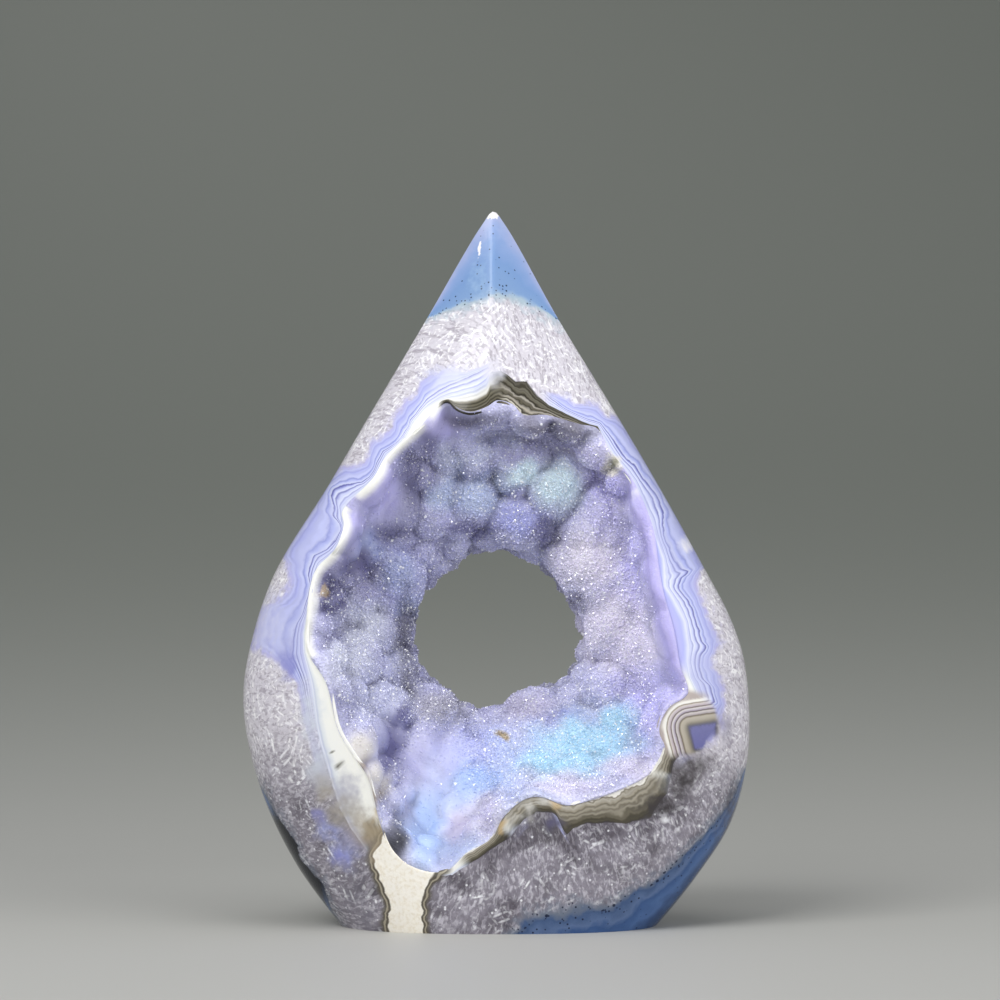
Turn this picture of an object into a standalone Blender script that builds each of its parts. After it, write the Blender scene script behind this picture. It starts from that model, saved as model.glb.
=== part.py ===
"""Blue agate geode, cut and polished to a pointed teardrop that stands on a flat base.

The stone is one solid with a hollow that goes right through it, wide at the front and
narrow near the back. A lumpy crust of druse lines the hollow as a second solid.
Both are rings: a closed section, carried once round the line through the hollow's middle.

X runs to the right, the front faces -Y, Z is up, and the base stands at Z = 0.
"""

import math
import random

import bmesh
import bpy
import numpy as np

MM = 0.001

# The front view is drawn as an eye in front of the stone sees it, in millimetres.
# Sizes are true in the stone's middle plane, and what is nearer is drawn larger.
EYE_SIDE = 0.5
EYE_HEIGHT = 30.0
EYE_DISTANCE = 275.0

# Middle of the hollow in the front view, right under the tip
HOLLOW_SIDE = -0.5
HOLLOW_HEIGHT = 39.0

# Outline of the uncut stone, clockwise from the tip, which stands 95 mm above the base.
# It runs on below the base, where the flat cut takes it off.
OUTLINE = (
    (-0.5, 95.0), (0.5, 93.2), (8.2, 80.5), (14.6, 69.8), (21.9, 57.1), (27.4, 47.0),
    (30.7, 40.7), (32.6, 35.3), (33.4, 28.0), (33.0, 20.9), (30.8, 13.2), (26.5, 6.6),
    (21.3, 0.3), (17.0, -4.0), (9.0, -8.0), (0.0, -9.5), (-9.0, -8.3), (-16.5, -4.6),
    (-20.9, 0.7), (-26.2, 7.8), (-30.5, 16.3), (-32.9, 24.6), (-33.4, 30.2), (-32.6, 36.0),
    (-29.6, 45.5), (-22.2, 57.9), (-15.8, 69.2), (-9.4, 80.2), (-1.5, 93.2),
)

# Half the stone's thickness at each height, from the tip down to the uncut bottom
HALF_THICKNESS = (
    (95.0, 0.0), (80.0, 5.4), (70.0, 8.8), (60.0, 11.5), (50.0, 13.4), (40.0, 14.6),
    (30.0, 15.0), (20.0, 14.8), (10.0, 14.0), (0.0, 12.4), (-5.0, 9.8), (-9.5, 0.0),
)

# The stone is four-sided at the tip and rounds into a pillow below it
RIDGE_TOP = 84.0
RIDGE_FOOT = 60.0
RIDGE_POWER = 1.06
PILLOW_POWER = 2.3

# Rim of the hollow on the polished front, clockwise from the top left
FRONT_RIM = (
    (-6.7, 69.1), (-5.2, 67.7), (-3.3, 67.1), (-1.1, 67.9), (0.1, 68.7), (2.1, 68.2),
    (3.6, 66.7), (6.5, 66.7), (11.0, 65.5), (13.3, 65.0), (15.0, 61.9), (18.0, 57.9),
    (20.5, 51.7), (21.1, 47.1), (21.8, 43.1), (23.1, 38.4), (23.9, 33.8), (24.6, 30.0),
    (22.3, 27.4), (21.8, 25.3), (22.4, 23.0), (20.3, 20.1), (16.3, 17.9), (11.0, 16.1),
    (9.0, 15.8), (5.5, 17.0), (3.5, 16.6), (0.9, 14.3), (-0.9, 11.0), (-3.9, 9.3),
    (-6.3, 7.0), (-9.7, 6.9), (-13.4, 9.3), (-15.1, 13.7), (-16.6, 19.4), (-18.7, 22.5),
    (-20.5, 25.5), (-22.0, 31.5), (-24.6, 35.8), (-24.7, 40.0), (-23.7, 46.0),
    (-20.8, 49.2), (-19.9, 52.2), (-20.2, 53.9), (-16.1, 58.3), (-14.6, 61.0),
    (-9.5, 65.8),
)

# Edge of the hole through the crust, clockwise from the top, seen deep in the stone
HOLE_EDGE = (
    (-0.2, 49.5), (3.1, 48.9), (6.9, 47.1), (8.2, 44.4), (11.0, 41.0), (11.4, 39.1),
    (10.7, 34.1), (7.3, 31.4), (4.3, 31.1), (1.4, 29.9), (-0.9, 28.5), (-3.1, 28.6),
    (-4.5, 29.8), (-6.9, 31.4), (-9.4, 31.8), (-10.7, 36.5), (-11.3, 38.9),
    (-11.0, 41.5), (-8.9, 45.0), (-4.6, 48.6), (-2.7, 50.1),
)
HOLE_DEPTH = 8.0

# The hollow's wall in section, from the front rim past the neck to the back rim:
# its share of the way out from the neck, and its share of the way back through the stone
WALL_PROFILE = (
    (1.00, 0.00), (1.03, 0.14), (0.95, 0.31), (0.74, 0.45), (0.46, 0.55),
    (0.19, 0.64), (0.03, 0.74), (0.00, 0.86), (0.12, 1.00),
)
NECK_IN_PROFILE = 7

# The rim's teeth fade out within this share of the wall, and the wall beyond is evened out
TEETH_FADE = 0.25
EVENING_SPREAD = math.radians(14.0)

# The crust stands a little clear of the stone. It is thin at its two edges, and its lumps
# rise from its own thickness.
GAP = 0.35
CRUST_THICKNESS = 1.2
EDGE_THICKNESS = 0.5
EDGE_TAPER = 0.10
EDGE_SETBACK = 0.03
NECK_BUILD_UP = 2.9

# Lumps of the crust in the front view: side, height and radius
LUMPS = (
    (-15.5, 56.2, 3.6), (-18.5, 50.5, 2.7), (-13.2, 44.6, 4.2), (-21.2, 42.7, 2.8),
    (-17.1, 38.2, 2.7), (-20.3, 34.3, 3.3), (-16.8, 28.2, 2.2), (-13.6, 27.6, 2.5),
    (-18.1, 23.9, 2.4), (-15.9, 19.9, 1.9), (-7.8, 28.4, 4.0), (3.9, 28.7, 3.8),
    (-8.1, 22.5, 4.3), (0.6, 24.6, 2.7), (12.3, 46.2, 4.8), (13.3, 52.1, 3.8),
    (15.5, 38.9, 4.0), (21.3, 36.2, 3.5), (19.7, 44.6, 3.0), (2.9, 52.3, 4.0),
    (-3.3, 55.7, 3.5), (-8.3, 53.7, 2.9), (-8.3, 58.5, 2.4), (-3.5, 62.7, 3.0),
    (1.7, 64.3, 2.7), (-6.7, 65.7, 2.9), (2.6, 58.9, 2.6), (8.1, 57.5, 3.5),
    (11.0, 61.8, 2.9), (5.1, 62.7, 2.4), (15.5, 55.7, 3.2), (-4.9, 52.7, 2.4),
    (-12.0, 33.3, 2.7), (-9.4, 16.2, 2.7), (-9.7, 12.6, 2.0), (-10.3, 10.1, 1.9),
    (-5.5, 11.9, 2.7), (-2.9, 16.9, 2.9), (1.0, 19.7, 2.9), (-13.3, 15.1, 1.6),
    (-8.1, 7.9, 1.6), (11.7, 18.1, 2.4), (18.5, 18.5, 2.4), (17.1, 23.3, 3.2),
    (9.4, 30.1, 2.1), (13.9, 31.4, 3.0), (19.7, 27.1, 2.3), (2.6, 16.9, 2.0),
    (10.5, 24.5, 3.6), (5.9, 21.9, 2.9), (-15.5, 47.9, 2.4), (-12.0, 61.2, 2.3),
)
SMALL_LUMPS = 90
SMALL_LUMP_RADIUS = (1.5, 2.4)
LUMP_SPREAD = 1.16
LUMP_LIFT = 0.74
SEED = 7

# Fineness of the two rings
AROUND = 104
FACE_STEPS = 6
WALL_STEPS = 5
LINING_STEPS = 23
CURVE_STEPS = 12


def clear_scene():
    """Remove every object from the scene."""
    for thing in list(bpy.data.objects):
        bpy.data.objects.remove(thing, do_unlink=True)


def stone_finish(name, colour, roughness):
    """Make the plain finish of one piece."""
    finish = bpy.data.materials.new(name)
    finish.use_nodes = True
    shader = finish.node_tree.nodes["Principled BSDF"]
    shader.inputs["Base Color"].default_value = (*colour, 1.0)
    shader.inputs["Roughness"].default_value = roughness
    shader.inputs["Metallic"].default_value = 0.0
    return finish


def smooth_curve(points, closed):
    """Return many points on a centripetal Catmull-Rom curve through a few points."""
    here = np.array(points, dtype=float)
    if closed:
        before, after, beyond = np.roll(here, 1, 0), np.roll(here, -1, 0), np.roll(here, -2, 0)
    else:
        first = 2.0 * here[0] - here[1]
        last = 2.0 * here[-1] - here[-2]
        before = np.vstack([first, here[:-2]])
        after = here[1:]
        beyond = np.vstack([here[2:], last])
        here = here[:-1]
    step_in = np.linalg.norm(here - before, axis=1, keepdims=True) ** 0.5
    step = np.linalg.norm(after - here, axis=1, keepdims=True) ** 0.5
    step_out = np.linalg.norm(beyond - after, axis=1, keepdims=True) ** 0.5
    leave = step * ((here - before) / step_in - (after - before) / (step_in + step) + (after - here) / step)
    arrive = step * ((after - here) / step - (beyond - here) / (step + step_out) + (beyond - after) / step_out)
    runs = []
    for share in np.arange(CURVE_STEPS) / CURVE_STEPS:
        square, cube = share ** 2, share ** 3
        runs.append(
            (2 * cube - 3 * square + 1) * here
            + (cube - 2 * square + share) * leave
            + (3 * square - 2 * cube) * after
            + (cube - square) * arrive
        )
    curve = np.stack(runs, axis=1).reshape(-1, here.shape[1])
    if not closed:
        curve = np.vstack([curve, after[-1]])
    return curve


def radius_by_angle(loop):
    """Return a function that gives a loop's distance from the hollow's middle at any angle."""
    side = loop[:, 0] - HOLLOW_SIDE
    height = loop[:, 1] - HOLLOW_HEIGHT
    angles = np.arctan2(height, side)
    radii = np.hypot(side, height)
    return lambda angle: np.interp(angle, angles, radii, period=2.0 * math.pi)


def evened(radius_at):
    """Return a function that gives a loop's radius, averaged over the angles on both sides."""
    angles = np.linspace(-math.pi, math.pi, 721)[:-1]
    offsets = np.linspace(-EVENING_SPREAD, EVENING_SPREAD, 21)
    radii = radius_at(angles[:, None] + offsets).mean(axis=1)
    return lambda angle: np.interp(angle, angles, radii, period=2.0 * math.pi)


OUTLINE_LOOP = smooth_curve(OUTLINE, closed=True)
THICKNESS_CURVE = smooth_curve(HALF_THICKNESS, closed=False)[::-1]
PROFILE_CURVE = smooth_curve(WALL_PROFILE, closed=False)


def side_limits(height):
    """Return the left and right sides of the uncut stone at a height."""
    tip = int(np.argmax(OUTLINE_LOOP[:, 1]))
    loop = np.roll(OUTLINE_LOOP, -tip, axis=0)
    foot = int(np.argmin(loop[:, 1]))
    right = loop[: foot + 1][::-1]
    left = np.vstack([loop[foot:], loop[:1]])
    return (
        np.interp(height, left[:, 1], left[:, 0]),
        np.interp(height, right[:, 1], right[:, 0]),
    )


def face_depth(side, height):
    """Return how far the polished face stands out from the middle plane.

    Across the stone, depth = half thickness * (1 - share ^ power) ^ (1 / power), where share
    runs from 0 in the middle to 1 at the edge. A power near 1 gives the tip its ridge.
    """
    left, right = side_limits(height)
    middle = 0.5 * (left + right)
    share = np.clip(np.abs(side - middle) / np.maximum(0.5 * (right - left), 0.01), 0.0, 1.0)
    roundness = np.clip((RIDGE_TOP - height) / (RIDGE_TOP - RIDGE_FOOT), 0.0, 1.0)
    roundness = roundness * roundness * (3.0 - 2.0 * roundness)
    power = RIDGE_POWER + (PILLOW_POWER - RIDGE_POWER) * roundness
    thickness = np.interp(height, THICKNESS_CURVE[:, 0], THICKNESS_CURVE[:, 1])
    return thickness * (1.0 - share ** power) ** (1.0 / power)


def true_place(drawn, depth):
    """Move drawn points to their true places, for points at a depth behind the middle plane."""
    eye = np.array([EYE_SIDE, EYE_HEIGHT])
    scale = (EYE_DISTANCE + np.asarray(depth)) / EYE_DISTANCE
    return eye + (drawn - eye) * np.reshape(scale, (-1, 1))


def true_rim(drawn):
    """Move the drawn front rim to its true place on the polished face."""
    place = drawn
    for _ in range(3):
        place = true_place(drawn, -face_depth(place[:, 0], place[:, 1]))
    return place


DRAWN_RIM = smooth_curve(FRONT_RIM, closed=True)
DRAWN_HOLE = smooth_curve(HOLE_EDGE, closed=True)
drawn_rim_radius = radius_by_angle(DRAWN_RIM)
drawn_hole_radius = radius_by_angle(DRAWN_HOLE)
outline_radius = radius_by_angle(OUTLINE_LOOP)
rim_radius = radius_by_angle(true_rim(DRAWN_RIM))
even_rim_radius = evened(rim_radius)
hole_radius = evened(radius_by_angle(true_place(DRAWN_HOLE, HOLE_DEPTH)))


def place_on_ray(angle, radius):
    """Return side and height at a distance from the hollow's middle."""
    return HOLLOW_SIDE + radius * np.cos(angle), HOLLOW_HEIGHT + radius * np.sin(angle)


def wall_place(angle, station, inset):
    """Return places on the hollow's wall at stations of the profile, set inwards.

    The profile's shares are read from the neck out to the rim, and from the front face to the
    back face. The inset is taken square to the wall's section, towards the open hollow.
    """
    neck = hole_radius(angle) + NECK_BUILD_UP
    front_depth = -face_depth(*place_on_ray(angle, rim_radius(angle)))
    back_depth = face_depth(*place_on_ray(angle, back_rim_radius(angle)))
    stations = np.linspace(0.0, 1.0, len(PROFILE_CURVE))
    small = 0.01

    def on_profile(share):
        out = np.interp(share, stations, PROFILE_CURVE[:, 0])
        through = np.interp(share, stations, PROFILE_CURVE[:, 1])
        teeth = np.clip(1.0 - share / TEETH_FADE, 0.0, 1.0) ** 2
        rim = even_rim_radius(angle) + teeth * (rim_radius(angle) - even_rim_radius(angle))
        return neck + out * (rim - neck), front_depth + through * (back_depth - front_depth)

    radius, depth = on_profile(station)
    radius_before, depth_before = on_profile(station - small)
    radius_after, depth_after = on_profile(station + small)
    run = np.hypot(radius_after - radius_before, depth_after - depth_before)
    radius = radius - inset * (depth_after - depth_before) / run
    depth = depth + inset * (radius_after - radius_before) / run
    return in_space(angle, radius, depth)


def back_rim_radius(angle):
    """Return the distance of the hollow's rim on the back face."""
    neck = hole_radius(angle) + NECK_BUILD_UP
    return neck + WALL_PROFILE[-1][0] * (even_rim_radius(angle) - neck)


def in_space(angle, radius, depth):
    """Return places in millimetres from their rays, radii and depths."""
    side, height = place_on_ray(angle, radius)
    return np.stack(np.broadcast_arrays(side, depth, height), axis=-1)


def valley_inset(station):
    """Return how far the crust's valleys stand in from the stone: less near both edges."""
    from_edge = np.minimum(station, 1.0 - station) / EDGE_TAPER
    return GAP + EDGE_THICKNESS + (CRUST_THICKNESS - EDGE_THICKNESS) * np.clip(from_edge, 0.0, 1.0)


def station_of_share(share):
    """Return the station between rim and neck where the profile has a share of its reach."""
    neck = NECK_IN_PROFILE * CURVE_STEPS
    stations = np.linspace(0.0, 1.0, len(PROFILE_CURVE))[: neck + 1]
    shares = PROFILE_CURVE[: neck + 1, 0]
    rise = np.maximum.accumulate(shares[::-1])
    return np.interp(share, rise, stations[::-1])


def crust_lumps():
    """Return the centre and radius of each lump, the drawn ones first and then the small ones."""
    places = []
    for side, height, radius in LUMPS:
        angle = math.atan2(height - HOLLOW_HEIGHT, side - HOLLOW_SIDE)
        distance = math.hypot(side - HOLLOW_SIDE, height - HOLLOW_HEIGHT)
        rim, hole = drawn_rim_radius(angle), drawn_hole_radius(angle)
        places.append((angle, station_of_share((distance - hole) / (rim - hole)), radius))
    chance = random.Random(SEED)
    for _ in range(SMALL_LUMPS):
        angle = chance.uniform(-math.pi, math.pi)
        places.append((angle, chance.uniform(0.05, 0.97), chance.uniform(*SMALL_LUMP_RADIUS)))
    return [(wall_place(angle, station, valley_inset(station)), size) for angle, station, size in places]


def raise_lumps(valley, lumps):
    """Raise a grid of places by the domes of the lumps, and return the new grid.

    A place moves out along its own normal by the highest dome over it. At a distance from a
    lump's centre, its dome is lift * spread radius * (1 - (distance / spread radius) ^ 2).
    """
    around = np.roll(valley, -1, axis=0) - np.roll(valley, 1, axis=0)
    normal = np.cross(np.gradient(valley, axis=1), around)
    normal /= np.linalg.norm(normal, axis=-1, keepdims=True)
    height = np.zeros(valley.shape[:2])
    for centre, radius in lumps:
        spread = LUMP_SPREAD * radius
        nearness = 1.0 - np.sum((valley - centre) ** 2, axis=-1) / spread ** 2
        height = np.maximum(height, LUMP_LIFT * spread * nearness)
    return valley + normal * height[..., None]


def body_sections(angles):
    """Return the stone's closed section at each angle: front face, back face, hollow's wall."""
    rim, edge, back = rim_radius(angles), outline_radius(angles), back_rim_radius(angles)
    shares = np.sin(np.linspace(0.0, math.pi / 2.0, FACE_STEPS + 1))
    front_radius = rim + (edge - rim) * shares
    back_radius = back + (edge - back) * shares[-2::-1]
    front = in_space(angles, front_radius, -face_depth(*place_on_ray(angles, front_radius)))
    front[:, -1, 1] = 0.0
    rear = in_space(angles, back_radius, face_depth(*place_on_ray(angles, back_radius)))
    wall = wall_place(angles, np.linspace(1.0, 0.0, WALL_STEPS + 1)[1:-1], 0.0)
    return np.concatenate([front, rear, wall], axis=1)


def crust_sections(angles):
    """Return the crust's closed section at each angle: lumpy lining, then plain back."""
    stations = np.linspace(EDGE_SETBACK, 1.0 - EDGE_SETBACK, LINING_STEPS + 1)
    lining = raise_lumps(wall_place(angles, stations, valley_inset(stations)), crust_lumps())
    backing = np.linspace(1.0, 0.0, WALL_STEPS + 1)
    backing[0], backing[-1] = 1.0 - EDGE_SETBACK, EDGE_SETBACK
    return np.concatenate([lining, wall_place(angles, backing, GAP)], axis=1)


def ring_mesh(name, sections):
    """Join closed sections, one for each angle, into one closed ring."""
    ring = bmesh.new()
    rows = [[ring.verts.new(point * MM) for point in section] for section in sections]
    for row, next_row in zip(rows, rows[1:] + rows[:1]):
        for corner in range(len(row)):
            ahead = (corner + 1) % len(row)
            ring.faces.new((row[corner], next_row[corner], next_row[ahead], row[ahead]))
    bmesh.ops.recalc_face_normals(ring, faces=ring.faces)
    mesh = bpy.data.meshes.new(name)
    ring.to_mesh(mesh)
    ring.free()
    return mesh


def cut_flat_base(mesh):
    """Cut the stone off at Z = 0 and close the cut with one flat face."""
    stone = bmesh.new()
    stone.from_mesh(mesh)
    everything = stone.verts[:] + stone.edges[:] + stone.faces[:]
    cut = bmesh.ops.bisect_plane(
        stone, geom=everything, dist=0.05 * MM, plane_co=(0.0, 0.0, 0.0),
        plane_no=(0.0, 0.0, -1.0), clear_outer=True,
    )
    rim = [part for part in cut["geom_cut"] if isinstance(part, bmesh.types.BMEdge)]
    bmesh.ops.contextual_create(stone, geom=rim)
    bmesh.ops.recalc_face_normals(stone, faces=stone.faces)
    stone.to_mesh(mesh)
    stone.free()


def add_piece(mesh, finish):
    """Put a mesh into the scene as one named piece with its own finish."""
    mesh.materials.append(finish)
    mesh.shade_smooth()
    mesh.set_sharp_from_angle(angle=math.radians(50.0))
    piece = bpy.data.objects.new(mesh.name, mesh)
    bpy.context.scene.collection.objects.link(piece)
    return piece


def build():
    """Build the stone and its crust."""
    clear_scene()
    angles = math.pi / 2.0 - np.arange(AROUND)[:, None] * 2.0 * math.pi / AROUND
    body = ring_mesh("agate_body", body_sections(angles))
    cut_flat_base(body)
    crust = ring_mesh("druzy_crust", crust_sections(angles))
    add_piece(body, stone_finish("polished_agate", (0.50, 0.50, 0.78), 0.12))
    add_piece(crust, stone_finish("lavender_druse", (0.42, 0.40, 0.64), 0.45))


build()
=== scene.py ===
"""Blue agate geode: the polished stone, the druse in its hollow, and a small studio.

Both CAD pieces are replaced by fine surfaces on the same driving sizes. Shapes are worked
out in millimetres, in the drawing of the front view, and put into the meshes in metres.
"""

import logging
import math
import random
from dataclasses import dataclass, field
from enum import Enum
from typing import Callable, Sequence, Union

import bpy
import numpy as np
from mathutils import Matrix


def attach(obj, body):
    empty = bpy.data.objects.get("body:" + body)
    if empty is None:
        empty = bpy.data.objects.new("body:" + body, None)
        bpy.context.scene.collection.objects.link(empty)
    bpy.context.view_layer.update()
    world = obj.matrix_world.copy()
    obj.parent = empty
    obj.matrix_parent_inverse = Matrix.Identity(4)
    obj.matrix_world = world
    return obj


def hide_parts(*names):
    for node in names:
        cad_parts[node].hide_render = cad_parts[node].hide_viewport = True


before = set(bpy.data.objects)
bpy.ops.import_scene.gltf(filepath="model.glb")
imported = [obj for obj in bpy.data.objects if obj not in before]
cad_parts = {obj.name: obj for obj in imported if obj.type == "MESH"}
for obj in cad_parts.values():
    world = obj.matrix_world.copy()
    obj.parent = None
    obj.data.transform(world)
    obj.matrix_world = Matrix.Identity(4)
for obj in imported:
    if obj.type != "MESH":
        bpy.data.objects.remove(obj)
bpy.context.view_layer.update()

MM = 0.001

Points = Sequence[tuple[float, float]]
Spots = Sequence[tuple[float, float, float, float]]
Feed = Union[bpy.types.NodeSocket, float, tuple, None]
ByAngle = Callable[[np.ndarray], np.ndarray]

log = logging.getLogger("agate_geode")


class Side(Enum):
    """The two polished faces of the stone."""

    FRONT = -1.0
    BACK = 1.0


class Habit(Enum):
    """Shapes of a quartz crystal that grows on the druse: its number of faces."""

    POINT = 3
    PRISM = 6


def linear(code: str) -> tuple[float, float, float, float]:
    """Turn a colour code into linear light.

    Args:
        code: A colour as six hex digits after a hash sign.

    Returns:
        Red, green, blue and an alpha of one.
    """
    parts = [int(code[start:start + 2], 16) / 255.0 for start in (1, 3, 5)]
    light = [part / 12.92 if part <= 0.04045 else ((part + 0.055) / 1.055) ** 2.4 for part in parts]
    return (*light, 1.0)


def smooth_curve(points: Points, closed: bool, steps: int = 12) -> np.ndarray:
    """Work out a centripetal Catmull-Rom curve through a few points.

    Args:
        points: The points that the curve runs through.
        closed: Whether the last point runs on into the first.
        steps: How many points each stretch gets.

    Returns:
        The curve's points, one a row.
    """
    here = np.array(points, dtype=float)
    if closed:
        before, after, beyond = np.roll(here, 1, 0), np.roll(here, -1, 0), np.roll(here, -2, 0)
    else:
        first, last = 2.0 * here[0] - here[1], 2.0 * here[-1] - here[-2]
        before, after, beyond = np.vstack([first, here[:-2]]), here[1:], np.vstack([here[2:], last])
        here = here[:-1]
    step_in = np.linalg.norm(here - before, axis=1, keepdims=True) ** 0.5
    step = np.linalg.norm(after - here, axis=1, keepdims=True) ** 0.5
    step_out = np.linalg.norm(beyond - after, axis=1, keepdims=True) ** 0.5
    leave = step * ((here - before) / step_in - (after - before) / (step_in + step) + (after - here) / step)
    arrive = step * ((after - here) / step - (beyond - here) / (step + step_out) + (beyond - after) / step_out)
    share = (np.arange(steps) / steps)[None, :, None]
    square, cube = share ** 2, share ** 3
    curve = (
        (2 * cube - 3 * square + 1) * here[:, None]
        + (cube - 2 * square + share) * leave[:, None]
        + (3 * square - 2 * cube) * after[:, None]
        + (cube - square) * arrive[:, None]
    ).reshape(-1, here.shape[1])
    return curve if closed else np.vstack([curve, after[-1]])


def smooth_step(low: float, high: float, value: np.ndarray) -> np.ndarray:
    """Rise from 0 at low to 1 at high, as share ^ 2 * (3 - 2 * share)."""
    share = np.clip((value - low) / (high - low), 0.0, 1.0)
    return share * share * (3.0 - 2.0 * share)


def waves(places: np.ndarray, length: float, seed: int, count: int = 14) -> np.ndarray:
    """Make a soft random field: the mean of sine waves that run in random directions.

    Args:
        places: Points in space, in millimetres.
        length: The mean length of a wave.
        seed: What the directions and phases are drawn from.
        count: How many waves are added up.

    Returns:
        One value a point, mostly between -1 and 1.
    """
    chance = np.random.default_rng(seed)
    way = chance.normal(size=(count, 3))
    way *= 2.0 * math.pi / (length * np.linalg.norm(way, axis=1, keepdims=True))
    way *= chance.uniform(0.7, 1.5, size=(count, 1))
    phase = chance.uniform(0.0, 2.0 * math.pi, size=count)
    return np.sin(places @ way.T + phase).sum(axis=-1) / math.sqrt(count)


def spot_mask(drawn: np.ndarray, spots: Spots, softness: float = 0.3) -> np.ndarray:
    """Make a mask of oval spots in the front view.

    Args:
        drawn: Side and height in the front view, in millimetres.
        spots: Side, height, half width and half height of each spot.
        softness: The share of a spot's size over which it fades.

    Returns:
        1 inside the spots and 0 outside them.
    """
    mask = np.zeros(drawn.shape[:-1])
    for side, height, half_width, half_height in spots:
        away = np.hypot((drawn[..., 0] - side) / half_width, (drawn[..., 1] - height) / half_height)
        mask = np.maximum(mask, 1.0 - smooth_step(1.0 - softness, 1.0 + softness, away))
    return mask


def line_mask(drawn: np.ndarray, line: Points, half: float) -> np.ndarray:
    """Make a mask of a drawn line in the front view.

    Args:
        drawn: Side and height in the front view, in millimetres.
        line: The line's corners.
        half: Half the line's width, in millimetres.

    Returns:
        1 on the line, fading to 0 over the last third of its half width.
    """
    corners = np.array(line)
    nearest = np.full(drawn.shape[:-1], np.inf)
    for start, end in zip(corners[:-1], corners[1:]):
        way = end - start
        share = np.clip(((drawn - start) @ way) / (way @ way), 0.0, 1.0)
        nearest = np.minimum(nearest, np.linalg.norm(drawn - start - share[..., None] * way, axis=-1))
    return smooth_step(1.3 * half, 0.7 * half, nearest)


def edge_distance(drawn: np.ndarray, corners: np.ndarray) -> np.ndarray:
    """Measure the distance to a closed outline, below zero inside it.

    Args:
        drawn: Side and height in the front view.
        corners: The outline's corners in order.

    Returns:
        The distance in millimetres.
    """
    nearest = np.full(drawn.shape[:-1], np.inf)
    inside = np.zeros(drawn.shape[:-1], dtype=bool)
    for start, end in zip(corners, np.roll(corners, -1, axis=0)):
        run = end - start
        share = np.clip(((drawn - start) @ run) / (run @ run), 0.0, 1.0)
        nearest = np.minimum(nearest, np.linalg.norm(drawn - start - share[..., None] * run, axis=-1))
        crosses = (start[1] > drawn[..., 1]) != (end[1] > drawn[..., 1])
        rise = run[1] if run[1] else 1e-9
        inside ^= crosses & (drawn[..., 0] < start[0] + (drawn[..., 1] - start[1]) * run[0] / rise)
    return np.where(inside, -nearest, nearest)


@dataclass(frozen=True)
class Tint:
    """A patch of colour, used for real stains and for painted shade and light: its colour, where it lies in the front
    view, and how strong it is.
    """

    colour: str
    places: Spots
    strength: float = 0.8
    softness: float = 0.6


def lay_patches(drawn: np.ndarray, tints: Sequence[Tint], ground: tuple[float, ...]) -> np.ndarray:
    """Lay patches of colour over a ground, one over the other. Some are real stains; some are painted shade and a
    painted reflection.

    Each patch's mask m turns a colour into colour * (1 - m) + patch * m, and the cover of a
    clear ground grows in the same way.

    Args:
        drawn: Side and height in the front view.
        tints: The patches, from the lowest to the topmost.
        ground: The colour under them, with an alpha of 0 where it is clear.

    Returns:
        Red, green, blue and cover of each place.
    """
    wash = np.broadcast_to(np.array(ground) * np.array([ground[3]] * 3 + [1.0]), (*drawn.shape[:-1], 4)).copy()
    for tint in tints:
        mask = tint.strength * spot_mask(drawn, tint.places, tint.softness)[..., None]
        wash += mask * (np.array(linear(tint.colour)) - wash)
    wash[..., :3] /= np.maximum(wash[..., 3:], 1e-4)
    return wash


@dataclass(frozen=True)
class Eye:
    """Where the front view is drawn from. Drawn sizes are true in the stone's middle plane."""

    side: float = 0.5
    height: float = 30.0
    distance: float = 275.0
    pitch: float = 5.35
    lens: float = 74.4

    def true_place(self, drawn: np.ndarray, depth: np.ndarray) -> np.ndarray:
        """Move drawn points to their true side and height, for points behind the middle plane."""
        middle = np.array([self.side, self.height])
        return middle + (drawn - middle) * ((self.distance + depth) / self.distance)[..., None]

    def drawn_place(self, places: np.ndarray) -> np.ndarray:
        """Give side and height in the front view of points in space."""
        middle = np.array([self.side, self.height])
        scale = self.distance / (self.distance + places[..., 1])
        return middle + (places[..., ::2] - middle) * scale[..., None]


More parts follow.
